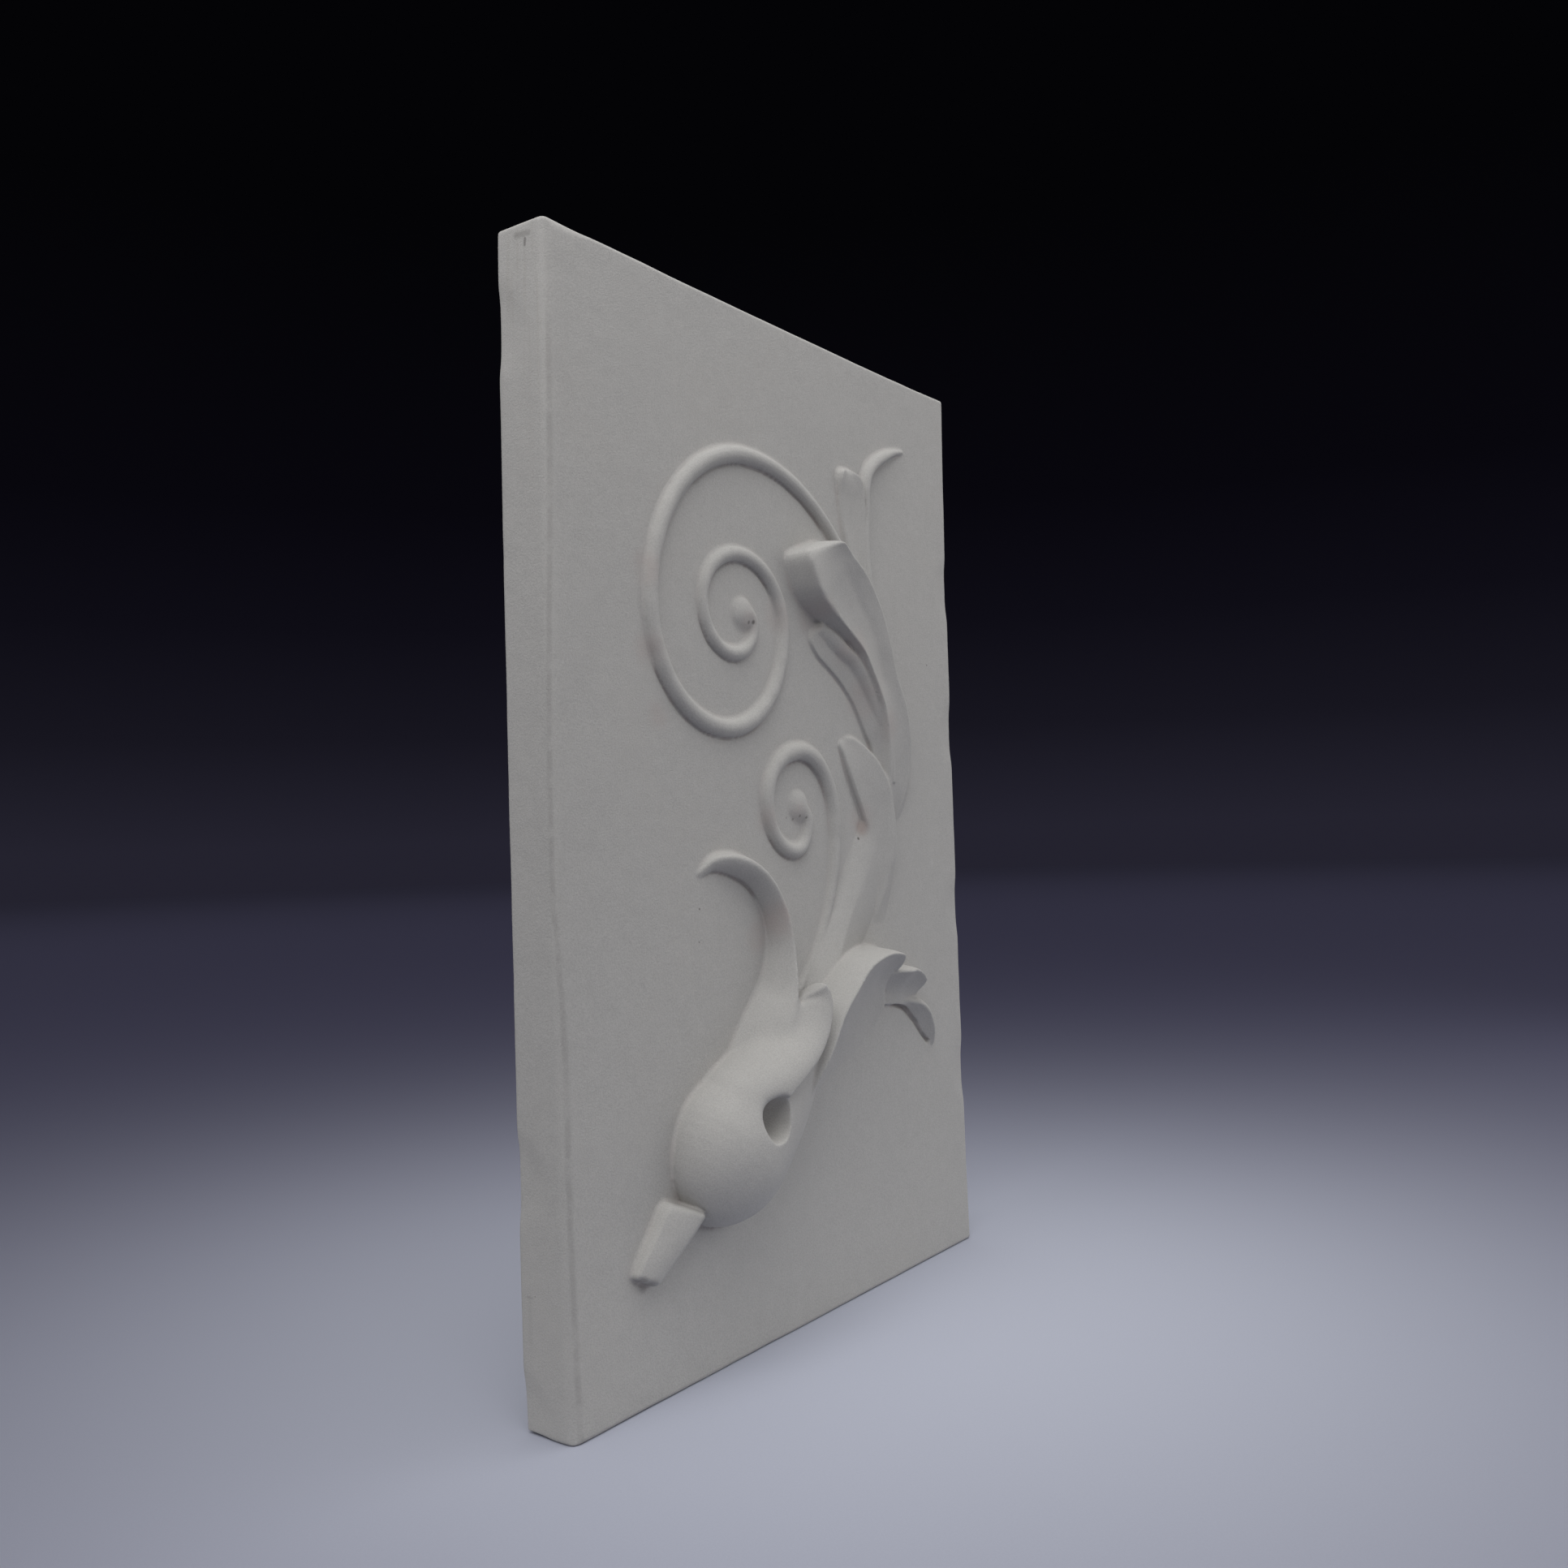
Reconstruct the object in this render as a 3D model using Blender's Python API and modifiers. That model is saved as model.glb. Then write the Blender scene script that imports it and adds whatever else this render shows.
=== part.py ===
"""Plaster bas-relief: a cast panel with a scrolling flower stem raised on its face.

The panel stands upright on its underside. X runs to the right along its width, Z runs up and
the carved face looks towards -Y. The origin is the middle of the underside. Lengths are metres.
"""

import math

import bmesh
import bpy
import numpy as np

# Sizes of the panel: the ornament, the bare margins round it and the thickness of the cast
ORNAMENT_HEIGHT = 0.492
LEFT_MARGIN = 0.050
RIGHT_MARGIN = 0.044
HEAD_MARGIN = 0.048
FOOT_MARGIN = 0.060
PANEL_THICKNESS = 0.034
EDGE_ROUNDING = 0.004

# How far the hand-finished edges leave the straight line
RIGHT_EDGE_HOLLOW = 0.0030
LEFT_EDGE_SWELL = 0.0015
HEAD_EDGE_DIP = 0.0015

# Sizes of the carving
RELIEF_DEPTH = 0.037
BIG_TENDRIL_RADIUS = 0.0053
BIG_TENDRIL_END_RADIUS = 0.0042
SMALL_TENDRIL_RADIUS = 0.0060
SMALL_TENDRIL_END_RADIUS = 0.0046
TENDRIL_SINK = 0.0008
BIG_EYE_RADIUS = 0.0065
SMALL_EYE_RADIUS = 0.0080
EYE_RISE = 0.0062
CALYX_HOLE_HALF_WIDTH = 0.0095
CALYX_HOLE_HALF_HEIGHT = 0.0120
CALYX_HOLE_DEPTH = 0.022

# The ornament is drawn on a grid of squares from its own lower left corner, and its heights
# above the panel are drawn in shares of the deepest relief
GRID_ROWS = 492
GRID_COLUMNS = 306
DEEPEST_RISE = 37
SQUARE = ORNAMENT_HEIGHT / GRID_ROWS
RISE = RELIEF_DEPTH / DEEPEST_RISE
PANEL_WIDTH = LEFT_MARGIN + GRID_COLUMNS * SQUARE + RIGHT_MARGIN
PANEL_HEIGHT = FOOT_MARGIN + ORNAMENT_HEIGHT + HEAD_MARGIN
FACE = -PANEL_THICKNESS / 2

# How finely the carving is faceted, and how deep its lumps root in the panel
LOFT_STEP = 8
PATH_STEP = 13
FLANK_STEPS = 4
ACROSS_STEPS = 4
CURVE_STEPS = 12
BLUNT_ANGLES = (8, 22, 38, 56, 74)
BLUNT_FORM = 2.5
ROOT_DEPTH = 0.004
FLAT_ANGLE = math.radians(0.05)

# Extreme points of each volute, walked counter-clockwise: between two of them the tendril is
# a quarter of an ellipse
BIG_VOLUTE = ((260, 270), (113, 451), (21, 355), (83, 291), (141, 353), (100, 392), (65, 362),
              (91, 334), (112, 351), (103, 360))
BIG_VOLUTE_START = 0.25
SMALL_VOLUTE = ((100, 121), (190, 236), (155, 280), (120, 250), (147, 220), (161, 237),
                (153, 246))
SMALL_VOLUTE_START = 0.33
BIG_EYE = (102, 357)
SMALL_EYE = (153, 245)

# The hole where the sepals part: its middle, and the side that its corner points to
HOLE_SPOT = (75, 73)
HOLE_CORNER_ANGLE = math.radians(40)
HOLE_CORNER_STRETCH = 0.35

# Lumps with one crest. Each row is one station along the crest: across, up, the reach to its
# left and to its right, and the rise of the crest, all in squares
STUB = ((1, 3, 6, 5, 8), (10, 13, 8, 7, 11), (20, 24, 11, 10, 14.5), (28, 33, 14, 13, 16),
        (40, 44, 7, 7, 9))
BELL = ((38, 31, 38, 36, 36), (68, 59, 41, 42, 36), (92, 82, 36, 44, 33),
        (112, 103, 30, 42, 28), (128, 121, 26, 36, 23), (140, 134, 20, 28, 17))
LEFT_SEPAL = ((94, 104, 10, 6, 20), (108, 122, 14, 6, 25), (118, 138, 15, 6, 22.5),
              (123, 153, 12, 5, 16.5), (124, 168, 9, 5, 14), (121, 186, 9.5, 5, 13),
              (113, 200, 10.5, 5, 12), (101, 211, 10, 5, 11), (87, 217, 10, 5, 9.5),
              (74, 218, 9, 4, 7), (64, 215, 5, 2, 2))
THIRD_LOBE = ((252, 122, 6, 8, 8), (268, 120, 6, 9, 9), (281, 113, 5, 9, 8.5),
              (290, 104, 5, 8, 7.5), (298, 94, 3.5, 5, 5), (303, 85, 1.5, 2, 1.5))
STEM = ((160, 130, 16, 20, 14), (180, 155, 16, 24, 12.5),
        (196, 176, 17, 26, 11.5), (211, 194, 21, 26, 11), (226, 212, 23, 24, 9.5),
        (236, 232, 18, 22, 7.5), (241, 252, 14, 20, 6.5), (246, 270, 8, 12, 5))
SECOND_RIDGE = ((178, 358, 5, 6, 5), (190, 352, 6, 8, 8), (201, 345, 6, 8, 9),
                (211, 340, 6, 8, 9.5), (224, 328, 6, 8, 9.5), (238, 306, 4, 6, 8))
HOOK = ((236, 394, 4, 4, 5), (235, 420, 4, 4, 5), (237, 440, 4.5, 4, 5),
        (237, 454, 4.5, 4.5, 5.5), (241, 465, 5, 4.5, 5.5), (251, 474, 5, 4, 5),
        (264, 481, 4.5, 3.5, 4.5), (277, 487, 3, 2.5, 3), (289, 490, 1.5, 1.5, 1.2))

# Blades with a crest along each edge. Each row is one station: the left crest across and up,
# the right crest across and up, and the rise of the left and of the right one, in squares
FRONT_SEPAL = ((58, 78, 68, 74, 29, 33), (72, 92, 84, 88, 30, 36),
               (85, 102, 98, 95, 29.5, 36.8), (97, 111, 113, 103, 28.5, 36),
               (105, 119, 123, 111, 27, 35), (110, 127, 130, 120, 25, 34),
               (114, 134, 133, 130, 23.5, 33), (118, 140, 132, 139, 22, 31.5),
               (122, 145, 130, 145, 22, 29))
FIRST_LOBE = ((114, 76, 130, 60, 26, 6), (134, 101, 156, 82, 31, 2.5), (151, 123, 178, 92, 31, 1.5),
              (166, 135, 196, 98, 30, 1.2), (182, 145, 210, 104, 28.5, 1.2),
              (200, 150, 222, 109, 27, 1.5), (219, 151, 233, 113, 24.5, 2.5),
              (234, 148, 244, 119, 21, 4), (243, 142, 251, 126, 17, 6))
SECOND_LOBE = ((234, 140, 238, 122, 12, 6), (250, 140, 256, 119, 14, 7), (264, 138, 268, 117, 13, 7),
               (276, 134, 278, 116, 11.5, 7), (285, 128, 284, 118, 9, 6.5))
LEAF = ((252, 236, 266, 240, 3, 3), (249, 254, 272, 256, 8, 6), (247, 272, 275, 274, 10, 8),
        (245, 290, 273, 292, 11, 10), (238, 312, 266, 312, 12, 11), (224, 332, 254, 332, 13, 12),
        (212, 345, 244, 351, 14, 14), (196, 355, 235, 367, 15, 15), (181, 363, 226, 379, 16, 16),
        (167, 371, 211, 390, 17, 18), (156, 380, 193, 401, 18, 20), (150, 390, 174, 408, 19, 21),
        (148, 397, 160, 406, 14, 19), (147, 401, 152, 404, 8, 11))
LOWER_FOLD = ((243, 262, 254, 262, 6, 7), (238, 284, 250, 286, 6.5, 8.5),
              (231, 294, 245, 300, 6, 9), (223, 306, 240, 312, 5, 8), (216, 315, 232, 324, 5, 8),
              (203, 326, 221, 334, 4.5, 7),
              (190, 334, 207, 342, 4.5, 6), (180, 340, 195, 350, 4, 5),
              (173, 347, 184, 356, 3.5, 4), (170, 353, 176, 358, 2, 3))
SHEATH = ((222, 198, 238, 194, 5, 6), (226, 214, 246, 212, 7, 7.5), (224, 228, 251, 228, 7.5, 9),
          (219, 244, 251, 248, 7.5, 9), (212, 256, 245, 263, 7.5, 9), (206, 267, 236, 274, 7, 8.5),
          (203, 276, 227, 282, 6, 7.5), (201, 284, 216, 288, 4.5, 5.5),
          (200, 289, 207, 291, 2.5, 3))
SPOON = ((227, 386, 236, 388, 5, 6), (217, 406, 233, 406, 3.5, 5), (212, 426, 232, 426, 3, 5),
         (209, 445, 231, 444, 3.5, 5.5), (209, 456, 229, 455, 4.5, 6), (211, 464, 223, 464, 4.5, 5.5))


def place(x, y, rise=0.0):
    """World place of a point of the ornament's grid at a rise above the panel's face."""
    across = LEFT_MARGIN + x * SQUARE - PANEL_WIDTH / 2
    return across, FACE - rise * RISE, FOOT_MARGIN + y * SQUARE


def clear_scene():
    """Remove the objects that the file starts with."""
    for item in list(bpy.data.objects):
        bpy.data.objects.remove(item, do_unlink=True)


def collection(name):
    """A new collection in the scene."""
    made = bpy.data.collections.new(name)
    bpy.context.scene.collection.children.link(made)
    return made


def plaster():
    """Matt off-white casting plaster."""
    material = bpy.data.materials.new("casting_plaster")
    material.use_nodes = True
    shader = material.node_tree.nodes["Principled BSDF"]
    shader.inputs["Base Color"].default_value = (0.70, 0.69, 0.67, 1.0)
    shader.inputs["Roughness"].default_value = 0.85
    shader.inputs["Metallic"].default_value = 0.0
    return material


def guide(item, holder):
    """Keep a lump or cutter as a hidden guide of the panel's Booleans."""
    holder.objects.link(item)
    item.hide_render = True
    item.display_type = "WIRE"
    return item


def mesh_of_curve(curve_object):
    """The closed mesh of a curve object, which it replaces."""
    bpy.context.view_layer.update()
    evaluated = curve_object.evaluated_get(bpy.context.evaluated_depsgraph_get())
    mesh = bpy.data.meshes.new_from_object(evaluated)
    welded = bmesh.new()
    welded.from_mesh(mesh)
    bmesh.ops.remove_doubles(welded, verts=welded.verts, dist=0.00001)
    # Flat ends are one face each, so that the rounding of the edges meets them squarely
    bmesh.ops.dissolve_limit(welded, angle_limit=FLAT_ANGLE, verts=[], edges=welded.edges)
    bmesh.ops.recalc_face_normals(welded, faces=welded.faces)
    welded.to_mesh(mesh)
    welded.free()
    name = curve_object.name
    world = curve_object.matrix_world.copy()
    bpy.data.objects.remove(curve_object, do_unlink=True)
    item = bpy.data.objects.new(name, mesh)
    item.matrix_world = world
    return item


def panel_outline():
    """Outline of the panel across and up: straight foot, softly wandering other edges."""
    turns = np.linspace(-1, 1, CURVE_STEPS + 1)
    bow = 1 - turns ** 4
    up = (turns + 1) / 2 * PANEL_HEIGHT
    half = PANEL_WIDTH / 2
    right = [(half - RIGHT_EDGE_HOLLOW * b, z) for b, z in zip(bow, up)]
    head = [(-t * half, PANEL_HEIGHT - HEAD_EDGE_DIP * b) for t, b in zip(turns, bow)]
    left = [(-half - LEFT_EDGE_SWELL * b, z) for b, z in zip(bow[::-1], up[::-1])]
    return right + head[1:-1] + left


def panel():
    """The plain cast panel with its softly rounded edges."""
    outline = panel_outline()
    curve = bpy.data.curves.new("plaster_relief", "CURVE")
    curve.dimensions = "2D"
    curve.fill_mode = "BOTH"
    curve.extrude = PANEL_THICKNESS / 2
    spline = curve.splines.new("POLY")
    spline.points.add(len(outline) - 1)
    for point, (x, z) in zip(spline.points, outline):
        point.co = (x, z, 0, 1)
    spline.use_cyclic_u = True
    drawn = bpy.data.objects.new("plaster_relief", curve)
    drawn.rotation_euler = (math.pi / 2, 0, 0)
    bpy.context.scene.collection.objects.link(drawn)
    item = mesh_of_curve(drawn)
    rounding = item.modifiers.new("soft_edges", "BEVEL")
    rounding.width = EDGE_ROUNDING
    rounding.segments = 2
    rounding.limit_method = "ANGLE"
    rounding.angle_limit = math.radians(30)
    return item


def volute_path(extremes, start):
    """Path of a volute on the grid, from a share of its first quarter turn to its eye."""
    path = []
    upright = extremes[0][0] > extremes[1][0]
    for (x0, y0), (x1, y1) in zip(extremes, extremes[1:]):
        count = max(6, round(1.1 * math.hypot(x1 - x0, y1 - y0) / PATH_STEP))
        for step in range(count):
            share = step / count
            if not path and share < start:
                continue
            lean, turn = math.cos(share * math.pi / 2), math.sin(share * math.pi / 2)
            if upright:
                path.append((x1 + (x0 - x1) * lean, y0 + (y1 - y0) * turn))
            else:
                path.append((x0 + (x1 - x0) * turn, y1 + (y0 - y1) * lean))
        upright = not upright
    path.append(extremes[-1])
    return path


def tendril(name, extremes, start, radius, end_radius):
    """A round tendril that lies on the face and narrows towards its eye."""
    path = volute_path(extremes, start)
    curve = bpy.data.curves.new(name, "CURVE")
    curve.dimensions = "3D"
    curve.bevel_depth = radius
    curve.bevel_resolution = 2
    curve.use_fill_caps = True
    spline = curve.splines.new("POLY")
    spline.points.add(len(path) - 1)
    for order, (point, (x, y)) in enumerate(zip(spline.points, path)):
        share = order / (len(path) - 1)
        across, out, up = place(x, y)
        point.co = (across, out + TENDRIL_SINK, up, 1)
        point.radius = 1 + share * (end_radius / radius - 1)
    drawn = bpy.data.objects.new(name, curve)
    bpy.context.scene.collection.objects.link(drawn)
    return mesh_of_curve(drawn)


def eye(name, spot, radius):
    """The raised button that a tendril curls up into."""
    mesh = bpy.data.meshes.new(name)
    ball = bmesh.new()
    bmesh.ops.create_uvsphere(ball, u_segments=14, v_segments=8, radius=radius)
    ball.to_mesh(mesh)
    ball.free()
    item = bpy.data.objects.new(name, mesh)
    item.location = place(*spot)
    item.scale.y = EYE_RISE / radius
    return item


def smooth_rows(rows):
    """Rows of numbers joined by a smooth curve, with the length walked to each new row."""
    rows = np.array(rows, dtype=float)
    padded = np.vstack([2 * rows[0] - rows[1], rows, 2 * rows[-1] - rows[-2]])
    fine = []
    for before, start, end, after in zip(padded, padded[1:], padded[2:], padded[3:]):
        for t in np.linspace(0, 1, CURVE_STEPS, endpoint=False):
            bend = (2 * before - 5 * start + 4 * end - after) * t
            twist = (3 * start - before - 3 * end + after) * t * t
            fine.append(start + t * ((end - before) + bend + twist) / 2)
    fine.append(rows[-1])
    fine = np.array(fine)
    paces = np.hypot(*np.diff(fine[:, 0:2] + fine[:, 2:4], axis=0).T) / 2
    return fine, np.concatenate([[0], np.cumsum(paces)])


def loft_places(length, blunt_start, blunt_end):
    """Distances along a lump and the share of its full section there, rounded at blunt ends."""
    rounding = [(1 - math.cos(math.radians(a)), math.sin(math.radians(a)) ** (2 / BLUNT_FORM))
                for a in BLUNT_ANGLES]
    nose = [(blunt_start * depth, share) for depth, share in rounding if blunt_start]
    tail = [(length - blunt_end * depth, share) for depth, share in reversed(rounding) if blunt_end]
    body = length - blunt_start - blunt_end
    count = max(2, round(body / LOFT_STEP))
    middle = [(blunt_start + body * step / count, 1.0) for step in range(count + 1)]
    return nose + middle + tail


def flank(form, steps):
    """Reach and rise, from base to crest, of a flank: 2 is round, 1 straight, less is hollow."""
    angles = [step / steps * math.pi / 2 for step in range(steps + 1)]
    return [(abs(math.cos(a)) ** (2 / form), math.sin(a) ** (2 / form)) for a in angles]


def section(station, side, share, forms, steps, sag):
    """Places of a section from its left foot, over its one or two crests, to its right foot."""
    left, right = station[0:2], station[2:4]
    middle = (left + right) / 2
    left, right = middle + (left - middle) * share, middle + (right - middle) * share
    left_reach, right_reach, left_rise, right_rise = station[4:8] * share
    points = []
    for reach, height in flank(forms[0], steps):
        points.append((*(left + side * left_reach * reach), left_rise * height))
    if math.dist(left, right) > 0.5:
        for step in range(1, ACROSS_STEPS):
            t = step / ACROSS_STEPS
            rise = left_rise + (right_rise - left_rise) * t - sag * share * math.sin(math.pi * t)
            points.append((*(left + (right - left) * t), rise))
        points.append((*right, right_rise))
    for reach, height in reversed(flank(forms[1], steps)[:-1]):
        points.append((*(right - side * right_reach * reach), right_rise * height))
    places = [place(*point) for point in points]
    roots = [(x, FACE + ROOT_DEPTH, z) for x, y, z in (places[-1], places[0])]
    return places + roots


def loft(name, rows, forms, blunt, steps, sag):
    """A closed form lofted through its stations and rooted in the panel."""
    fine, walked = smooth_rows(rows)
    twin = math.dist(rows[0][0:2], rows[0][2:4]) > 0.5
    shape = bmesh.new()
    rings = []
    for distance, share in loft_places(walked[-1], *blunt):
        here, ahead, behind = (
            np.array([np.interp(d, walked, column) for column in fine.T])
            for d in (distance, distance + 1, distance - 1)
        )
        if twin:
            side = here[0:2] - here[2:4]
        else:
            way = ahead[0:2] - behind[0:2]
            side = np.array((-way[1], way[0]))
        side = side / np.hypot(*side)
        places = section(here, side, share, forms, steps, sag)
        if rings and len(places) != len(rings[0]):
            continue
        rings.append([shape.verts.new(point) for point in places])
    for ring, following in zip(rings, rings[1:]):
        for a, b, c, d in zip(ring, ring[1:] + ring[:1], following[1:] + following[:1], following):
            shape.faces.new((a, b, c, d))
    shape.faces.new(rings[0])
    shape.faces.new(reversed(rings[-1]))
    bmesh.ops.recalc_face_normals(shape, faces=shape.faces)
    mesh = bpy.data.meshes.new(name)
    shape.to_mesh(mesh)
    shape.free()
    mesh.shade_smooth()
    return bpy.data.objects.new(name, mesh)


def lump(name, stations, forms=(2.0, 2.0), blunt=(0, 0), steps=FLANK_STEPS):
    """A leaf, lobe or stem with one crest."""
    rows = [(x, y, x, y, left, right, rise, rise) for x, y, left, right, rise in stations]
    return loft(name, rows, forms, blunt, steps, 0)


def blade(name, stations, left_reaches, right_reaches, forms=(2.0, 2.0), blunt=(0, 0), sag=0):
    """A leaf with a crest along each edge, hollowed by a sag, its flanks narrowing to the tip."""
    rows = []
    for order, station in enumerate(stations):
        t = order / (len(stations) - 1)
        reaches = [root + (tip - root) * t for root, tip in (left_reaches, right_reaches)]
        rows.append((*station[0:4], *reaches, *station[4:6]))
    return loft(name, rows, forms, blunt, FLANK_STEPS, sag)


def calyx_hole():
    """Cutter for the drop-shaped hole where the sepals part."""
    mesh = bpy.data.meshes.new("calyx_hole")
    drop = bmesh.new()
    bmesh.ops.create_uvsphere(drop, u_segments=16, v_segments=8, radius=1)
    for vert in drop.verts:
        turn = math.atan2(vert.co.z, vert.co.x) - HOLE_CORNER_ANGLE
        stretch = 1 + HOLE_CORNER_STRETCH * max(0, math.cos(turn)) ** 6
        vert.co.x *= CALYX_HOLE_HALF_WIDTH * stretch
        vert.co.y *= CALYX_HOLE_DEPTH
        vert.co.z *= CALYX_HOLE_HALF_HEIGHT * stretch
    drop.to_mesh(mesh)
    drop.free()
    item = bpy.data.objects.new("calyx_hole", mesh)
    item.location = place(*HOLE_SPOT, DEEPEST_RISE)
    return item


def join(panel_item, pieces):
    """Raise the lumps on the panel, one Boolean for each."""
    for piece in pieces:
        union = panel_item.modifiers.new(piece.name, "BOOLEAN")
        union.operation = "UNION"
        union.solver = "EXACT"
        union.object = piece


def build():
    """Model the relief as one closed solid."""
    clear_scene()
    work = collection("plaster_bas_relief")
    guides = collection("carving_guides")
    relief = panel()
    work.objects.link(relief)
    relief.data.materials.append(plaster())
    lumps = [
        tendril("big_tendril", BIG_VOLUTE, BIG_VOLUTE_START, BIG_TENDRIL_RADIUS,
                BIG_TENDRIL_END_RADIUS),
        tendril("small_tendril", SMALL_VOLUTE, SMALL_VOLUTE_START, SMALL_TENDRIL_RADIUS,
                SMALL_TENDRIL_END_RADIUS),
        eye("big_eye", BIG_EYE, BIG_EYE_RADIUS),
        eye("small_eye", SMALL_EYE, SMALL_EYE_RADIUS),
        lump("stub", STUB, (1.15, 1.15)),
        lump("bell", BELL, (2.1, 2.0), (42, 10), 7),
        lump("left_sepal", LEFT_SEPAL, (1.2, 2.0), (0, 5)),
        lump("third_lobe", THIRD_LOBE, (2.0, 2.2), (0, 4)),
        lump("stem", STEM, (1.3, 1.4)),
        lump("second_ridge", SECOND_RIDGE),
        lump("hook", HOOK, (2.0, 2.0), (0, 4)),
        blade("front_sepal", FRONT_SEPAL, (14, 5), (4, 3), (2.0, 2.0), (8, 4), -0.8),
        blade("first_lobe", FIRST_LOBE, (12, 6), (4, 3), (1.6, 2.0), (0, 8), 3),
        blade("second_lobe", SECOND_LOBE, (6, 4), (3, 2), (2.0, 2.0), (0, 5), 1.5),
        blade("leaf", LEAF, (3, 3), (8, 8), (2.6, 2.0), (0, 3), 2.2),
        blade("lower_fold", LOWER_FOLD, (1.5, 1.5), (6, 6), (2.6, 2.0), (0, 4)),
        blade("sheath", SHEATH, (2, 2), (4, 4), (2.4, 2.0), (0, 5), 0.8),
        blade("spoon", SPOON, (2, 2), (2, 2), (2.2, 2.2), (0, 7), 1.5),
    ]
    for item in lumps:
        guide(item, guides)
    join(relief, lumps)
    cutter = guide(calyx_hole(), guides)
    cut = relief.modifiers.new("calyx_hole", "BOOLEAN")
    cut.operation = "DIFFERENCE"
    cut.solver = "EXACT"
    cut.object = cutter


build()
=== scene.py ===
"""Dressed scene of a cast plaster relief: a standing slab with a scrolling flower stem on it.

The ornament is drawn on a grid of millimetre squares laid over the face of the slab, from the
ornament's own lower left corner. A rise is a height above the face. The forms are lofted in
clay, fused into one closed cast, worked over by hand tools and then thinned where it is flat.
Lengths are metres unless they are squares of the grid.
"""

import logging
import math
from dataclasses import dataclass
from enum import Enum

import bmesh
import bpy
import numpy as np
from mathutils import Matrix, Vector


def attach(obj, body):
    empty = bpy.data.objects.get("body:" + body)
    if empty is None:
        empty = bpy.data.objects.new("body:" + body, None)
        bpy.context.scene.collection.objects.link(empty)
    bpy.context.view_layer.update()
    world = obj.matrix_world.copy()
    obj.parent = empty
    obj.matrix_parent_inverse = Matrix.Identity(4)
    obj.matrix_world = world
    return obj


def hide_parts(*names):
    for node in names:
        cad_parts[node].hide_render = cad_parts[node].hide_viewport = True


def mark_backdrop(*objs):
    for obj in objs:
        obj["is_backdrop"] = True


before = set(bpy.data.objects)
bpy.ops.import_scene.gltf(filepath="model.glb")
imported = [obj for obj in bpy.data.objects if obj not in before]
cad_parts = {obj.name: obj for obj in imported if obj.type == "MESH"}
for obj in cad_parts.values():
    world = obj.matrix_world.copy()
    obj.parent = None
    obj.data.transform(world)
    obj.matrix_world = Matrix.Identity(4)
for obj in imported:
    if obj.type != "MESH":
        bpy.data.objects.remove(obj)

Point = tuple[float, float, float]
Rows = tuple[tuple[float, ...], ...]
Colour = tuple[float, float, float, float]
log = logging.getLogger("plaster_relief")


class Flank(Enum):
    """How a flank falls from its crest to the face: the power of its rounded section."""

    SWELLING = 2.6
    FULL = 2.2
    ROUND = 2.0
    EASED = 1.6
    SOFT = 1.3
    HOLLOW = 0.9
    COVE = 0.72


@dataclass(frozen=True)
class DrawingGrid:
    """The squares that the ornament is drawn on, laid over the face of the slab."""

    square: float = 0.001
    left: float = -0.150
    foot: float = 0.060
    face: float = -0.017

    def place(self, x: float, y: float, rise: float = 0.0) -> Point:
        """World place of a point of the grid at a rise above the face.

        Args:
            x: Squares across from the ornament's left edge.
            y: Squares up from the ornament's foot.
            rise: Squares above the face.

        Returns:
            The point in the shared frame, in metres.
        """
        return (self.left + x * self.square, self.face - rise * self.square,
                self.foot + y * self.square)

    def places(self, x: np.ndarray, y: np.ndarray, rise: np.ndarray) -> np.ndarray:
        """World places of many points of the grid.

        Args:
            x: Squares across, one for each point.
            y: Squares up.
            rise: Squares above the face.

        Returns:
            An array of points, one in each row.
        """
        return np.stack([self.left + x * self.square, self.face - rise * self.square,
                         self.foot + y * self.square], axis=-1)

    def squares(self, points: np.ndarray) -> tuple[np.ndarray, np.ndarray, np.ndarray]:
        """Grid coordinates of world points.

        Args:
            points: Points in the shared frame, one in each row.

        Returns:
            Squares across, squares up and the rise of each point.
        """
        return ((points[:, 0] - self.left) / self.square,
                (points[:, 2] - self.foot) / self.square,
                (self.face - points[:, 1]) / self.square)


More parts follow.
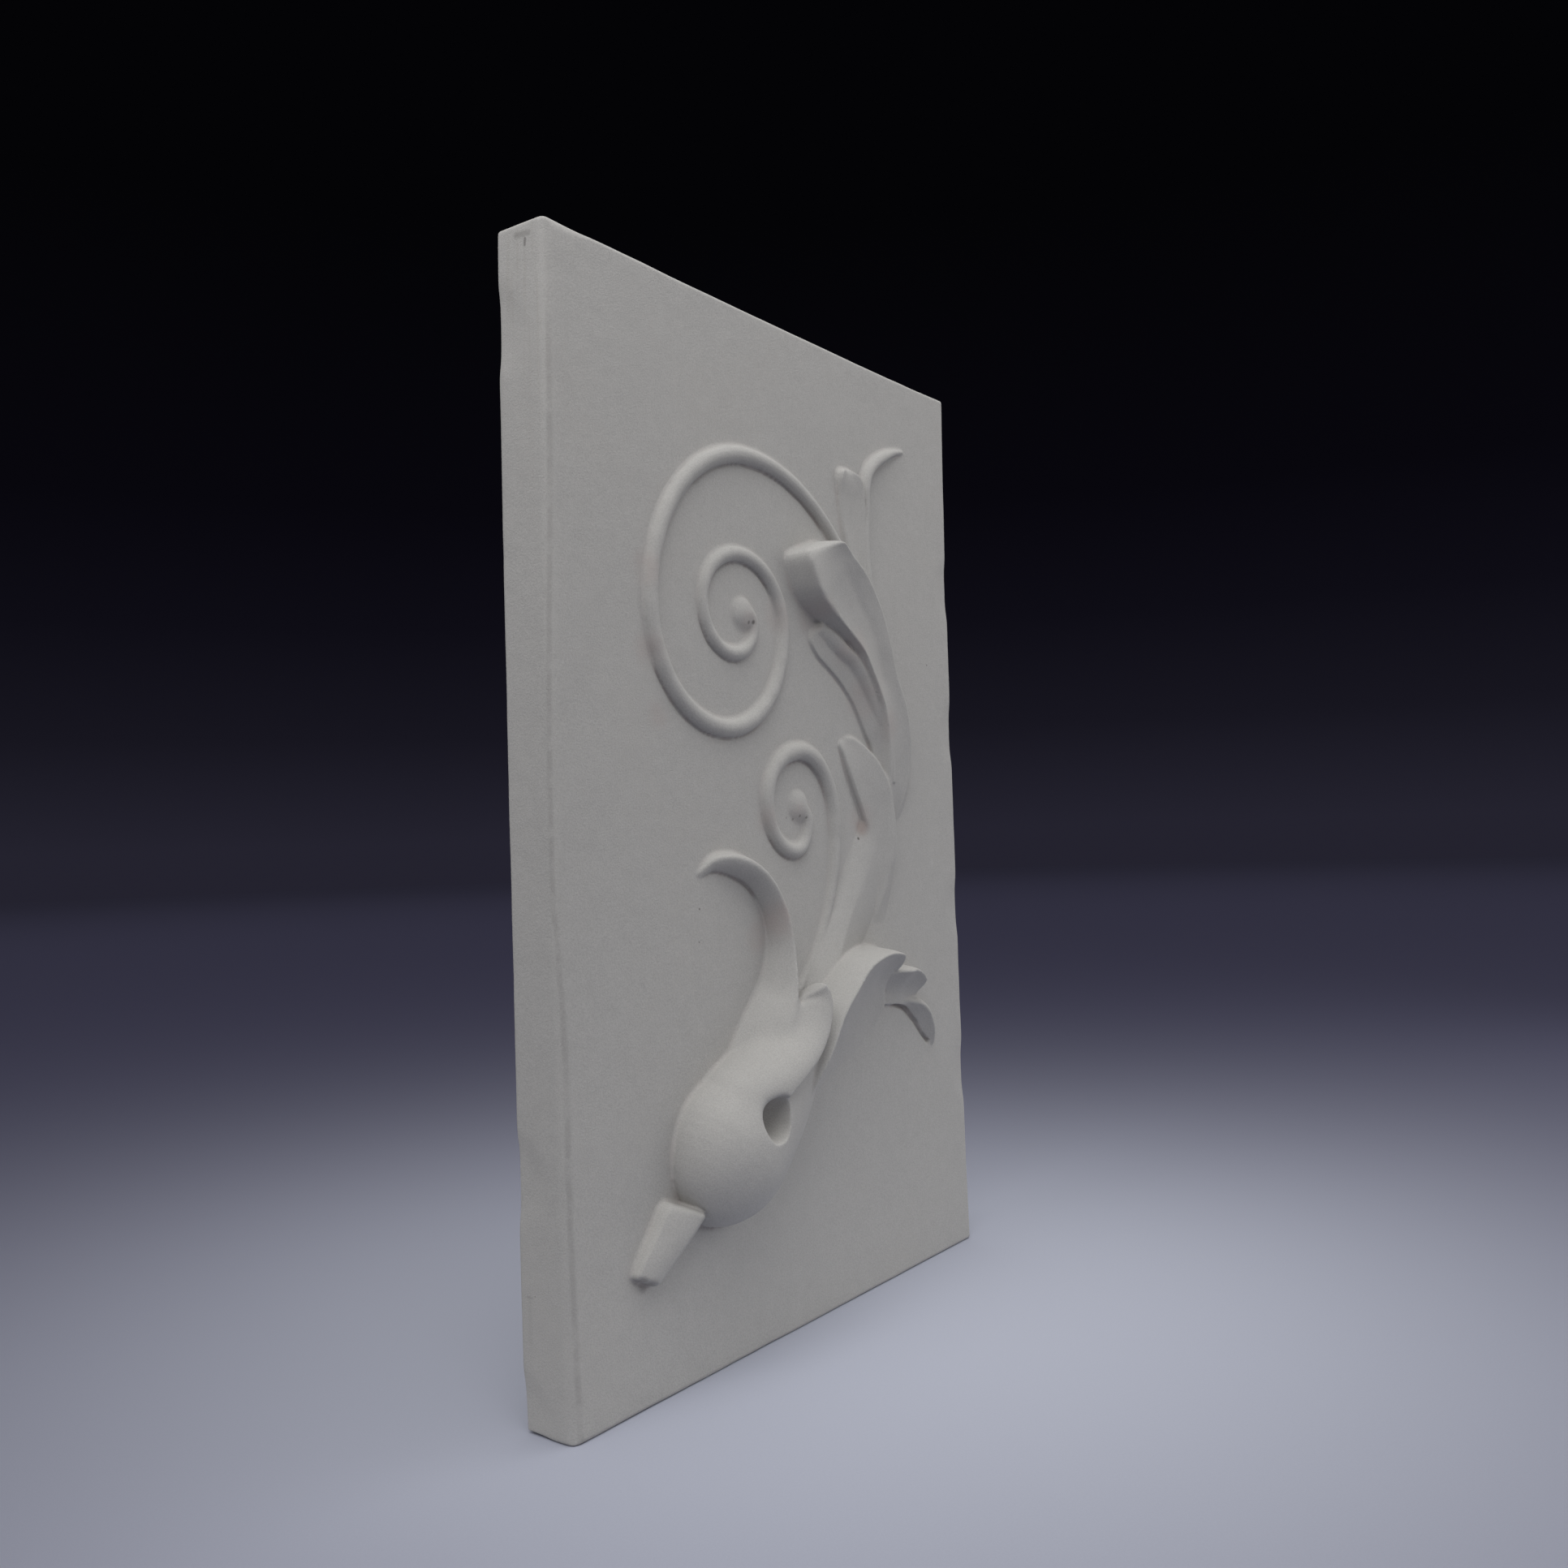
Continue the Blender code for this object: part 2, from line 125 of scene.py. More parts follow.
class Clay:
    """Closed shells gathered into one mesh before they are fused."""

    def __init__(self) -> None:
        """Start with no shells."""
        self.points: list[np.ndarray] = []
        self.faces: list[tuple[int, ...]] = []
        self.count = 0

    def add(self, points: np.ndarray, faces: list[tuple[int, ...]]) -> None:
        """Add one closed shell.

        Args:
            points: The shell's points, one in each row.
            faces: The shell's faces, as places in points.
        """
        self.faces += [tuple(corner + self.count for corner in face) for face in faces]
        self.points.append(points)
        self.count += len(points)

    def add_rings(self, rings: np.ndarray) -> None:
        """Add a shell that runs through rings of points and is closed at both ends.

        Args:
            rings: An array of rings, each an array of the same number of points.
        """
        ring_count, around = rings.shape[:2]
        faces: list[tuple[int, ...]] = []
        for ring in range(ring_count - 1):
            here, following = ring * around, (ring + 1) * around
            for corner in range(around):
                beside = (corner + 1) % around
                faces.append((here + corner, here + beside, following + beside,
                              following + corner))
        faces.append(tuple(range(around)))
        last = (ring_count - 1) * around
        faces.append(tuple(last + corner for corner in reversed(range(around))))
        self.add(rings.reshape(-1, 3), faces)

    def add_mesh(self, mesh: bpy.types.Mesh) -> None:
        """Add the shells of a mesh.

        Args:
            mesh: A mesh whose points are in the shared frame.
        """
        points = np.zeros(len(mesh.vertices) * 3)
        mesh.vertices.foreach_get("co", points)
        self.add(points.reshape(-1, 3), [tuple(face.vertices) for face in mesh.polygons])

    def mesh(self, name: str) -> bpy.types.Mesh:
        """All shells as one mesh.

        Args:
            name: The name of the mesh.

        Returns:
            The mesh, with its faces pointing outwards.
        """
        made = bpy.data.meshes.new(name)
        made.from_pydata(np.vstack(self.points).tolist(), [], self.faces)
        shells = bmesh.new()
        shells.from_mesh(made)
        bmesh.ops.recalc_face_normals(shells, faces=shells.faces)
        shells.to_mesh(made)
        shells.free()
        return made


def shown(name: str, mesh: bpy.types.Mesh) -> bpy.types.Object:
    """Put a mesh in the scene as an object at the origin.

    Args:
        name: The name of the object.
        mesh: The mesh, with its place in its points.

    Returns:
        The new object.
    """
    made = bpy.data.objects.new(name, mesh)
    bpy.context.scene.collection.objects.link(made)
    return made


def settled(item: bpy.types.Object) -> bpy.types.Mesh:
    """Turn an object with modifiers into a plain mesh and remove the object.

    Args:
        item: The object, at the origin.

    Returns:
        The mesh that its modifiers make.
    """
    bpy.context.view_layer.update()
    evaluated = item.evaluated_get(bpy.context.evaluated_depsgraph_get())
    mesh = bpy.data.meshes.new_from_object(evaluated)
    bpy.data.objects.remove(item, do_unlink=True)
    return mesh


@dataclass(frozen=True)
class LoftSteps:
    """How finely the forms are lofted, in squares and in steps, and how they are rooted.

    Crests closer than the twin gap are one crest. The root is how far a form reaches into the
    slab, in metres.
    """

    along: float = 2.0
    flank: int = 12
    across: int = 14
    curve: int = 16
    blunt_angles: tuple[float, ...] = (4, 8, 13, 19, 25, 31, 38, 45, 52, 59, 67, 75, 83)
    blunt_form: float = 2.5
    twin_gap: float = 0.5
    root: float = 0.005


@dataclass(frozen=True)
class Form:
    """A form of the carving, lofted through its stations and rooted in the slab.

    Each row holds the left crest across and up, the right crest across and up, the reach of
    the left and of the right flank, and the rise of the left and of the right crest.
    """

    name: str
    rows: Rows
    left: Flank = Flank.ROUND
    right: Flank = Flank.ROUND
    blunt: tuple[float, float] = (0, 0)
    sag: float = 0.0
    tuck: tuple[float, float] = (0, 0)
    squared: bool = False
    left_tip: Flank | None = None
    steps: LoftSteps = LoftSteps()

    def smooth_rows(self) -> tuple[np.ndarray, np.ndarray]:
        """Join the rows by a smooth curve.

        Returns:
            The fine rows, and the length walked to each of them.
        """
        rows = np.array(self.rows, dtype=float)
        padded = np.vstack([2 * rows[0] - rows[1], rows, 2 * rows[-1] - rows[-2]])
        fine = []
        for before, start, end, after in zip(padded, padded[1:], padded[2:], padded[3:]):
            for t in np.linspace(0, 1, self.steps.curve, endpoint=False):
                bend = (2 * before - 5 * start + 4 * end - after) * t
                twist = (3 * start - before - 3 * end + after) * t * t
                fine.append(start + t * ((end - before) + bend + twist) / 2)
        fine.append(rows[-1])
        joined = np.array(fine)
        paces = np.hypot(*np.diff(joined[:, 0:2] + joined[:, 2:4], axis=0).T) / 2
        return joined, np.concatenate([[0], np.cumsum(paces)])

    def stops(self, length: float) -> list[tuple[float, float]]:
        """Distances along the form and the share of its full section at each.

        Args:
            length: The whole length of the form.

        Returns:
            Pairs of distance and share, rounded off at blunt ends.
        """
        start, end = self.blunt
        steps = self.steps
        rounding = [(1 - math.cos(math.radians(a)),
                     math.sin(math.radians(a)) ** (2 / steps.blunt_form))
                    for a in steps.blunt_angles]
        nose = [(start * depth, share) for depth, share in rounding if start]
        tail = [(length - end * depth, share) for depth, share in reversed(rounding) if end]
        body = length - start - end
        count = max(2, round(body / steps.along))
        return nose + [(start + body * n / count, 1.0) for n in range(count + 1)] + tail

    def flank(self, power: float, tuck: float) -> tuple[np.ndarray, np.ndarray]:
        """Reach and height of a flank from its foot to its crest, in shares of the whole.

        Args:
            power: How the flank is rounded.
            tuck: Degrees that the foot tucks in under the widest part.

        Returns:
            The share of the reach, and the share of the rise, of each point.
        """
        angles = np.radians(np.linspace(-tuck, 90, self.steps.flank + 1))
        reach = np.abs(np.cos(angles)) ** (2 / power)
        height = np.sign(angles) * np.abs(np.sin(angles)) ** (2 / power)
        lowest = height[0]
        return reach, (height - lowest) / (1 - lowest)

    def rings(self, grid: DrawingGrid) -> np.ndarray:
        """The sections of the form.

        Args:
            grid: The grid that the form is drawn on.

        Returns:
            An array of rings of points in the shared frame.
        """
        fine, walked = self.smooth_rows()
        twin = math.dist(self.rows[0][0:2], self.rows[0][2:4]) > self.steps.twin_gap
        left_tip = self.left_tip or self.left
        right_reach, right_height = self.flank(self.right.value, self.tuck[1])
        between = np.linspace(0, 1, self.steps.across + 1)[1:-1]
        rings = []
        for distance, share in self.stops(walked[-1]):
            here, ahead, behind = (
                np.array([np.interp(d, walked, column) for column in fine.T])
                for d in (distance, distance + 1, distance - 1)
            )
            way = ahead[0:2] - behind[0:2]
            side = here[0:2] - here[2:4] if twin else np.array((-way[1], way[0]))
            side = side / np.hypot(*side)
            middle = (here[0:2] + here[2:4]) / 2
            along = distance / walked[-1]
            power = self.left.value + (left_tip.value - self.left.value) * along
            left_reach, left_height = self.flank(power, self.tuck[0])
            width = 1.0 if self.squared else share
            left = middle + (here[0:2] - middle) * width
            right = middle + (here[2:4] - middle) * width
            reach_l, reach_r, rise_l, rise_r = here[4:8] * share
            drawn = [left + np.outer(left_reach * reach_l, side)]
            rises = [left_height * rise_l]
            if twin:
                drawn.append(left + np.outer(between, right - left))
                rises.append(rise_l + (rise_r - rise_l) * between
                             - self.sag * share * np.sin(math.pi * between))
            last = slice(None, None, -1) if twin else slice(-2, None, -1)
            drawn.append(right - np.outer((right_reach * reach_r)[last], side))
            rises.append((right_height * rise_r)[last])
            flat, rise = np.vstack(drawn), np.concatenate(rises)
            ring = grid.places(flat[:, 0], flat[:, 1], rise)
            roots = ring[[-1, 0]].copy()
            roots[:, 1] = grid.face + self.steps.root
            rings.append(np.vstack([ring, roots]))
        return np.array(rings)


def lump(name: str, stations: Rows, left: Flank = Flank.ROUND, right: Flank = Flank.ROUND,
         blunt: tuple[float, float] = (0, 0), tuck: tuple[float, float] = (0, 0),
         left_tip: Flank | None = None) -> Form:
    """A form with one crest.

    Args:
        name: The name of the form.
        stations: Rows of the crest's place across and up, its left and right reach, its rise.
        left: How the left flank is rounded.
        right: How the right flank is rounded.
        blunt: How far the start and the end are rounded off, in squares.
        tuck: Degrees that the left and the right foot tuck in.
        left_tip: How the left flank is rounded at the tip, if not as at the root.

    Returns:
        The form.
    """
    rows = tuple((x, y, x, y, reach_l, reach_r, rise, rise)
                 for x, y, reach_l, reach_r, rise in stations)
    return Form(name, rows, left, right, blunt, 0.0, tuck, False, left_tip)


def blade(name: str, stations: Rows, left_reach: tuple[float, float],
          right_reach: tuple[float, float], left: Flank = Flank.ROUND,
          right: Flank = Flank.ROUND, blunt: tuple[float, float] = (0, 0), sag: float = 0.0,
          tuck: tuple[float, float] = (0, 0), squared: bool = False,
          left_tip: Flank | None = None) -> Form:
    """A form with a crest along each edge, hollowed between them.

    Args:
        name: The name of the form.
        stations: Rows of the left crest across and up, the right crest across and up, and the
            rise of the left and of the right crest.
        left_reach: Reach of the left flank at the root and at the tip.
        right_reach: Reach of the right flank at the root and at the tip.
        left: How the left flank is rounded.
        right: How the right flank is rounded.
        blunt: How far the start and the end are rounded off, in squares.
        sag: How far the middle lies below the straight line between the crests.
        tuck: Degrees that the left and the right foot tuck in.
        squared: Whether a blunt end keeps its width and only falls.
        left_tip: How the left flank is rounded at the tip, if not as at the root.

    Returns:
        The form.
    """
    rows = []
    for order, station in enumerate(stations):
        t = order / (len(stations) - 1)
        reaches = [root + (tip - root) * t for root, tip in (left_reach, right_reach)]
        rows.append((*station[0:4], *reaches, *station[4:6]))
    return Form(name, tuple(rows), left, right, blunt, sag, tuck, squared, left_tip)


@dataclass(frozen=True)
class Slab:
    """The plain cast slab with its softly rounded, slightly wandering edges.

    The left front edge has the full rounding and the other edges a share of it.
    """

    width: float = 0.400
    height: float = 0.600
    thickness: float = 0.034
    rounding: float = 0.0060
    sharper_share: float = 0.35
    rounding_steps: int = 7
    right_hollow: float = 0.0030
    left_swell: float = 0.0015
    head_dip: float = 0.0015
    outline_steps: int = 24
    sharp_angle: float = math.radians(30)
    edge_reach: float = 0.01
    front_share: float = 0.4

    def outline(self) -> list[tuple[float, float]]:
        """Draw the outline: a straight foot and softly bowed other edges.

        Returns:
            Its points across and up, in metres.
        """
        turns = np.linspace(-1, 1, self.outline_steps + 1)
        bow = 1 - turns ** 4
        up = (turns + 1) / 2 * self.height
        half = self.width / 2
        right = [(half - self.right_hollow * b, z) for b, z in zip(bow, up)]
        head = [(-t * half, self.height - self.head_dip * b) for t, b in zip(turns, bow)]
        left = [(-half - self.left_swell * b, z) for b, z in zip(bow[::-1], up[::-1])]
        return right + head[1:-1] + left

    def build(self) -> bpy.types.Mesh:
        """Make the slab.

        Returns:
            Its closed mesh, in the shared frame.
        """
        outline = self.outline()
        count = len(outline)
        half = self.thickness / 2
        points = [(x, y, z) for y in (-half, half) for x, z in outline]
        faces = [tuple(range(count)), tuple(reversed(range(count, 2 * count)))]
        for corner in range(count):
            beside = (corner + 1) % count
            faces.append((corner, corner + count, beside + count, beside))
        mesh = bpy.data.meshes.new("slab")
        mesh.from_pydata(points, [], faces)
        block = bmesh.new()
        block.from_mesh(mesh)
        bmesh.ops.recalc_face_normals(block, faces=block.faces)
        rounded = block.edges.layers.float.new("bevel_weight_edge")
        for edge in block.edges:
            if edge.calc_face_angle() > self.sharp_angle:
                middle = (edge.verts[0].co + edge.verts[1].co) / 2
                left = middle.x < self.edge_reach - self.width / 2
                front = middle.y < -self.front_share * half
                edge[rounded] = 1.0 if left and front else self.sharper_share
        block.to_mesh(mesh)
        block.free()
        item = shown("slab", mesh)
        soft = item.modifiers.new("soft_edges", "BEVEL")
        soft.width = self.rounding
        soft.segments = self.rounding_steps
        soft.limit_method = "WEIGHT"
        soft.use_clamp_overlap = False
        return settled(item)


class TendrilTree:
    """Geometry Nodes that sweep a round tendril along a drawn path and taper it to its eye."""

    belly_spot: float = 0.5
    wander_scale: float = 55.0
    wander_detail: float = 1.0
    sides: int = 20

    def __init__(self, finish: bpy.types.Material) -> None:
        """Build the tree.

        Args:
            finish: The material that the tendril is set to.
        """
        tree = bpy.data.node_groups.new("tapered_tendril", "GeometryNodeTree")
        face = tree.interface
        face.new_socket("Path", in_out="INPUT", socket_type="NodeSocketGeometry")
        self.sockets: dict[str, str] = {}
        for name, start in (("Root radius", 0.003), ("Belly radius", 0.005),
                            ("Eye radius", 0.004), ("Step", 0.002), ("Swell", 0.0)):
            made = face.new_socket(name, in_out="INPUT", socket_type="NodeSocketFloat")
            made.default_value = start
            self.sockets[name] = made.identifier
        face.new_socket("Tendril", in_out="OUTPUT", socket_type="NodeSocketGeometry")
        self.tree = tree
        start = self.node("NodeGroupInput")
        even = self.node("GeometryNodeResampleCurve", mode="LENGTH")
        walked = self.node("GeometryNodeSplineParameter")
        fatten = self.node("ShaderNodeMapRange", interpolation_type="SMOOTHSTEP")
        fatten.inputs["From Max"].default_value = self.belly_spot
        taper = self.node("ShaderNodeMapRange", interpolation_type="SMOOTHSTEP")
        taper.inputs["From Min"].default_value = self.belly_spot
        wander = self.node("ShaderNodeTexNoise")
        wander.inputs["Scale"].default_value = self.wander_scale
        wander.inputs["Detail"].default_value = self.wander_detail
        centred = self.node("ShaderNodeMath", operation="SUBTRACT")
        centred.inputs[1].default_value = 0.5
        swollen = self.node("ShaderNodeMath", operation="MULTIPLY_ADD")
        thick = self.node("GeometryNodeSetCurveRadius")
        ring = self.node("GeometryNodeCurvePrimitiveCircle", mode="RADIUS")
        ring.inputs["Resolution"].default_value = self.sides
        ring.inputs["Radius"].default_value = 1.0
        sweep = self.node("GeometryNodeCurveToMesh")
        sweep.inputs["Fill Caps"].default_value = True
        radius = self.node("GeometryNodeInputRadius")
        real = self.node("GeometryNodeRealizeInstances")
        dress = self.node("GeometryNodeSetMaterial")
        dress.inputs["Material"].default_value = finish
        end = self.node("NodeGroupOutput")
        join = tree.links.new
        join(start.outputs["Path"], even.inputs["Curve"])
        join(start.outputs["Step"], even.inputs["Length"])
        join(walked.outputs["Factor"], fatten.inputs["Value"])
        join(start.outputs["Root radius"], fatten.inputs["To Min"])
        join(start.outputs["Belly radius"], fatten.inputs["To Max"])
        join(walked.outputs["Factor"], taper.inputs["Value"])
        join(fatten.outputs["Result"], taper.inputs["To Min"])
        join(start.outputs["Eye radius"], taper.inputs["To Max"])
        join(wander.outputs["Fac"], centred.inputs[0])
        join(centred.outputs[0], swollen.inputs[0])
        join(start.outputs["Swell"], swollen.inputs[1])
        join(taper.outputs["Result"], swollen.inputs[2])
        join(even.outputs["Curve"], thick.inputs["Curve"])
        join(swollen.outputs[0], thick.inputs["Radius"])
        join(thick.outputs["Curve"], sweep.inputs["Curve"])
        join(ring.outputs["Curve"], sweep.inputs["Profile Curve"])
        join(radius.outputs[0], sweep.inputs["Scale"])
        join(sweep.outputs["Mesh"], real.inputs["Geometry"])
        join(real.outputs["Geometry"], dress.inputs["Geometry"])
        join(dress.outputs["Geometry"], end.inputs["Tendril"])

    def node(self, kind: str, **settings: object) -> bpy.types.Node:
        """Add a node.

        Args:
            kind: The type of the node.
            **settings: Its settings, such as a mode.

        Returns:
            The node.
        """
        made = self.tree.nodes.new(kind)
        for name, value in settings.items():
            setattr(made, name, value)
        return made

    def sweep(self, path: list[Point], sizes: dict[str, float]) -> bpy.types.Mesh:
        """Sweep one tendril.

        Args:
            path: The points of its middle line.
            sizes: A value for each named input.

        Returns:
            The closed mesh of the tendril.
        """
        curve = bpy.data.curves.new("tendril_path", "CURVE")
        curve.dimensions = "3D"
        spline = curve.splines.new("POLY")
        spline.points.add(len(path) - 1)
        for point, place in zip(spline.points, path):
            point.co = (*place, 1)
        item = bpy.data.objects.new("tendril_path", curve)
        bpy.context.scene.collection.objects.link(item)
        nodes = item.modifiers.new("tapered_tendril", "NODES")
        nodes.node_group = self.tree
        for name, value in sizes.items():
            nodes[self.sockets[name]] = value
        return settled(item)


@dataclass(frozen=True)
class Volute:
    """A tendril that coils up on the face and ends in a raised eye.

    Between two of its extreme points, walked counter-clockwise, it is a quarter of an ellipse,
    taken as longer than its chord by the arc share and walked in paces of so many squares.
    """

    name: str
    extremes: Rows
    start: float
    root_radius: float
    belly_radius: float
    eye_radius: float
    eye_spot: tuple[float, float]
    eye_size: tuple[float, float, float]
    sink: float = 0.8
    step: float = 0.002
    swell: float = 0.0011
    arc_share: float = 1.1
    pace: float = 3
    fewest_paces: int = 10

    def path(self) -> list[tuple[float, float]]:
        """Draw the middle line.

        Returns:
            Its points on the grid, from the root to the eye.
        """
        path = []
        upright = self.extremes[0][0] > self.extremes[1][0]
        for (x0, y0), (x1, y1) in zip(self.extremes, self.extremes[1:]):
            length = self.arc_share * math.hypot(x1 - x0, y1 - y0)
            count = max(self.fewest_paces, round(length / self.pace))
            for step in range(count):
                share = step / count
                if not path and share < self.start:
                    continue
                lean, turn = math.cos(share * math.pi / 2), math.sin(share * math.pi / 2)
                if upright:
                    path.append((x1 + (x0 - x1) * lean, y0 + (y1 - y0) * turn))
                else:
                    path.append((x0 + (x1 - x0) * turn, y1 + (y0 - y1) * lean))
            upright = not upright
        path.append(self.extremes[-1])
        return path

    def build(self, grid: DrawingGrid, tree: TendrilTree, clay: Clay) -> None:
        """Add the tendril and its eye to the clay.

        Args:
            grid: The grid that the volute is drawn on.
            tree: The nodes that sweep it.
            clay: The clay that it is added to.
        """
        path = [grid.place(x, y, -self.sink) for x, y in self.path()]
        clay.add_mesh(tree.sweep(path, {
            "Root radius": self.root_radius, "Belly radius": self.belly_radius,
            "Eye radius": self.eye_radius, "Step": self.step, "Swell": self.swell,
        }))
        mesh = bpy.data.meshes.new(self.name + "_eye")
        ball = bmesh.new()
        bmesh.ops.create_icosphere(ball, subdivisions=4, radius=1)
        wide, high, rise = self.eye_size
        place = Matrix.Translation(grid.place(*self.eye_spot))
        ball.transform(place @ Matrix.Diagonal((wide, rise, high, 1)))
        ball.to_mesh(mesh)
        ball.free()
        clay.add_mesh(mesh)


@dataclass(frozen=True)
class CalyxHole:
    """The drop-shaped hole where the sepals part."""

    spot: tuple[float, float] = (77.5, 75)
    top: float = 37
    half_width: float = 0.0112
    half_height: float = 0.0117
    depth: float = 0.022
    squareness: float = 2.2
    corner_angle: float = math.radians(55)
    corner_stretch: float = 0.24
    corner_sharpness: int = 6

    def cutter(self, grid: DrawingGrid) -> bpy.types.Object:
        """The hidden drop that cuts the hole.

        Args:
            grid: The grid that the hole is drawn on.

        Returns:
            The cutter, which is removed after use.
        """
        mesh = bpy.data.meshes.new("calyx_hole")
        drop = bmesh.new()
        bmesh.ops.create_uvsphere(drop, u_segments=64, v_segments=32, radius=1)
        x, y, z = grid.place(*self.spot, self.top)
        for vert in drop.verts:
            turn = math.atan2(vert.co.z, vert.co.x)
            lean, rise = abs(math.cos(turn)), abs(math.sin(turn))
            square = (lean ** self.squareness + rise ** self.squareness) ** (
                -1 / self.squareness)
            corner = max(0, math.cos(turn - self.corner_angle)) ** self.corner_sharpness
            stretch = square * (1 + self.corner_stretch * corner)
            vert.co = Vector((x + vert.co.x * self.half_width * stretch,
                              y + vert.co.y * self.depth,
                              z + vert.co.z * self.half_height * stretch))
        drop.to_mesh(mesh)
        drop.free()
        return shown("calyx_hole", mesh)

    def cut(self, clay: Clay, cutter: bpy.types.Object) -> bpy.types.Mesh:
        """Cut the hole out of one form.

        Args:
            clay: The form, alone.
            cutter: The drop.

        Returns:
            The mesh of the form with its hole.
        """
        item = shown("form", clay.mesh("form"))
        cut = item.modifiers.new("hole", "BOOLEAN")
        cut.operation = "DIFFERENCE"
        cut.solver = "EXACT"
        cut.object = cutter
        return settled(item)


@dataclass(frozen=True)
class Calyx:
    """The stub, the swollen bell with its hole, the two sepals and the three side lobes."""

    stub: Rows = ((-6, 8, 5, 2, 5, 6.5), (0, 17, 13, 10, 6, 9), (9, 28, 23, 21, 7, 12.5),
                  (16, 37, 31, 30, 8, 15), (21, 41, 36, 35, 8, 16))
    bell: Rows = ((38, 31, 38, 36, 36), (68, 59, 41, 42, 36), (92, 82, 32, 44, 33),
                  (112, 103, 24, 42, 28), (128, 121, 21, 36, 23), (140, 134, 16, 28, 17))
    left_sepal: Rows = ((92, 100, 19, 6, 20), (106, 119, 17, 6, 24.5), (116, 136, 13, 5, 22.5),
                        (121, 152, 9, 4.5, 18), (123, 168, 7, 4, 15), (120, 186, 7, 4, 13),
                        (112, 200, 8, 4, 12), (101, 210, 8.5, 4, 11), (88, 216, 9, 4, 9.5),
                        (76, 218, 8, 3, 7.2), (67, 217, 6.5, 2.5, 4.6), (60, 213, 4, 2, 2.2),
                        (54, 209, 2, 1.5, 0.4))
    front_sepal: Rows = ((60, 60, 30, 6, 22), (72, 77, 27, 4, 31), (85, 87, 24, 4, 35.5),
                         (98, 95, 22, 4, 36.8), (113, 103, 22, 4, 36), (123, 111, 22, 4, 35),
                         (130, 120, 24, 4, 34), (134, 130, 25, 3.5, 33), (134, 138, 23, 3, 32),
                         (129.5, 145, 21, 3, 30.5))
    first_lobe: Rows = ((114, 76, 134, 54, 26, 0), (134, 101, 162, 74, 31, 0),
                        (151, 123, 184, 84, 31, 0), (166, 136, 203, 90, 31, 0),
                        (182, 147, 218, 98, 30, 0), (201, 152, 229, 105, 28, 0),
                        (219, 153, 235, 112, 25.5, 1), (236, 150.5, 240, 116, 22.5, 2),
                        (248, 145, 241, 120, 19, 3))
    second_lobe: Rows = ((226, 136, 228, 121, 2, 1), (244, 138, 246, 118, 11, 2.5),
                         (254, 138, 256, 117, 16, 3),
                         (262, 138, 264, 115, 16, 2.5), (273, 134, 273, 113, 14.5, 2.5),
                         (283, 127, 281, 114, 11.5, 3))
    third_lobe: Rows = ((262, 117, 4, 3, 2.5), (271, 115.5, 5, 5, 5), (279, 113.5, 5, 7, 8),
                        (286, 109.5, 5, 8.5, 8.4), (292, 104.5, 4.5, 8, 7.6),
                        (298, 97, 3.5, 6.5, 6), (302, 90, 2.5, 4.5, 4), (304, 83, 1.2, 1.5, 1.2))
    hole: CalyxHole = CalyxHole()

    def pierced(self) -> list[Form]:
        """The forms that the hole is cut through.

        Returns:
            The bell, the front sepal and the first lobe.
        """
        return [
            lump("bell", self.bell, Flank.FULL, Flank.ROUND, blunt=(42, 10)),
            lump("front_sepal", self.front_sepal, Flank.SWELLING, Flank.SWELLING,
                 blunt=(12, 3), left_tip=Flank.SOFT),
            blade("first_lobe", self.first_lobe, (10, 3), (2, 2), Flank.EASED, Flank.ROUND,
                  blunt=(0, 7), sag=6.5),
        ]

    def whole(self) -> list[Form]:
        """The forms that the hole doesn't touch.

        Returns:
            The stub, the left sepal and the two outer lobes.
        """
        return [
            blade("stub", self.stub, (2.5, 2.5), (3, 9), Flank.ROUND, Flank.ROUND,
                  blunt=(3, 4), sag=-0.8, squared=True),
            lump("left_sepal", self.left_sepal, Flank.HOLLOW, Flank.FULL, blunt=(0, 2),
                 left_tip=Flank.EASED),
            blade("second_lobe", self.second_lobe, (4, 3), (1.5, 1.5), blunt=(0, 5), sag=3.5,
                  tuck=(0, 40)),
            lump("third_lobe", self.third_lobe, Flank.ROUND, Flank.HOLLOW, blunt=(0, 2)),
        ]

    def build(self, grid: DrawingGrid, clay: Clay) -> None:
        """Add the calyx to the clay.

        Args:
            grid: The grid that it is drawn on.
            clay: The clay that it is added to.
        """
        for form in self.whole():
            clay.add_rings(form.rings(grid))
        cutter = self.hole.cutter(grid)
        for form in self.pierced():
            alone = Clay()
            alone.add_rings(form.rings(grid))
            clay.add_mesh(self.hole.cut(alone, cutter))
        bpy.data.objects.remove(cutter, do_unlink=True)


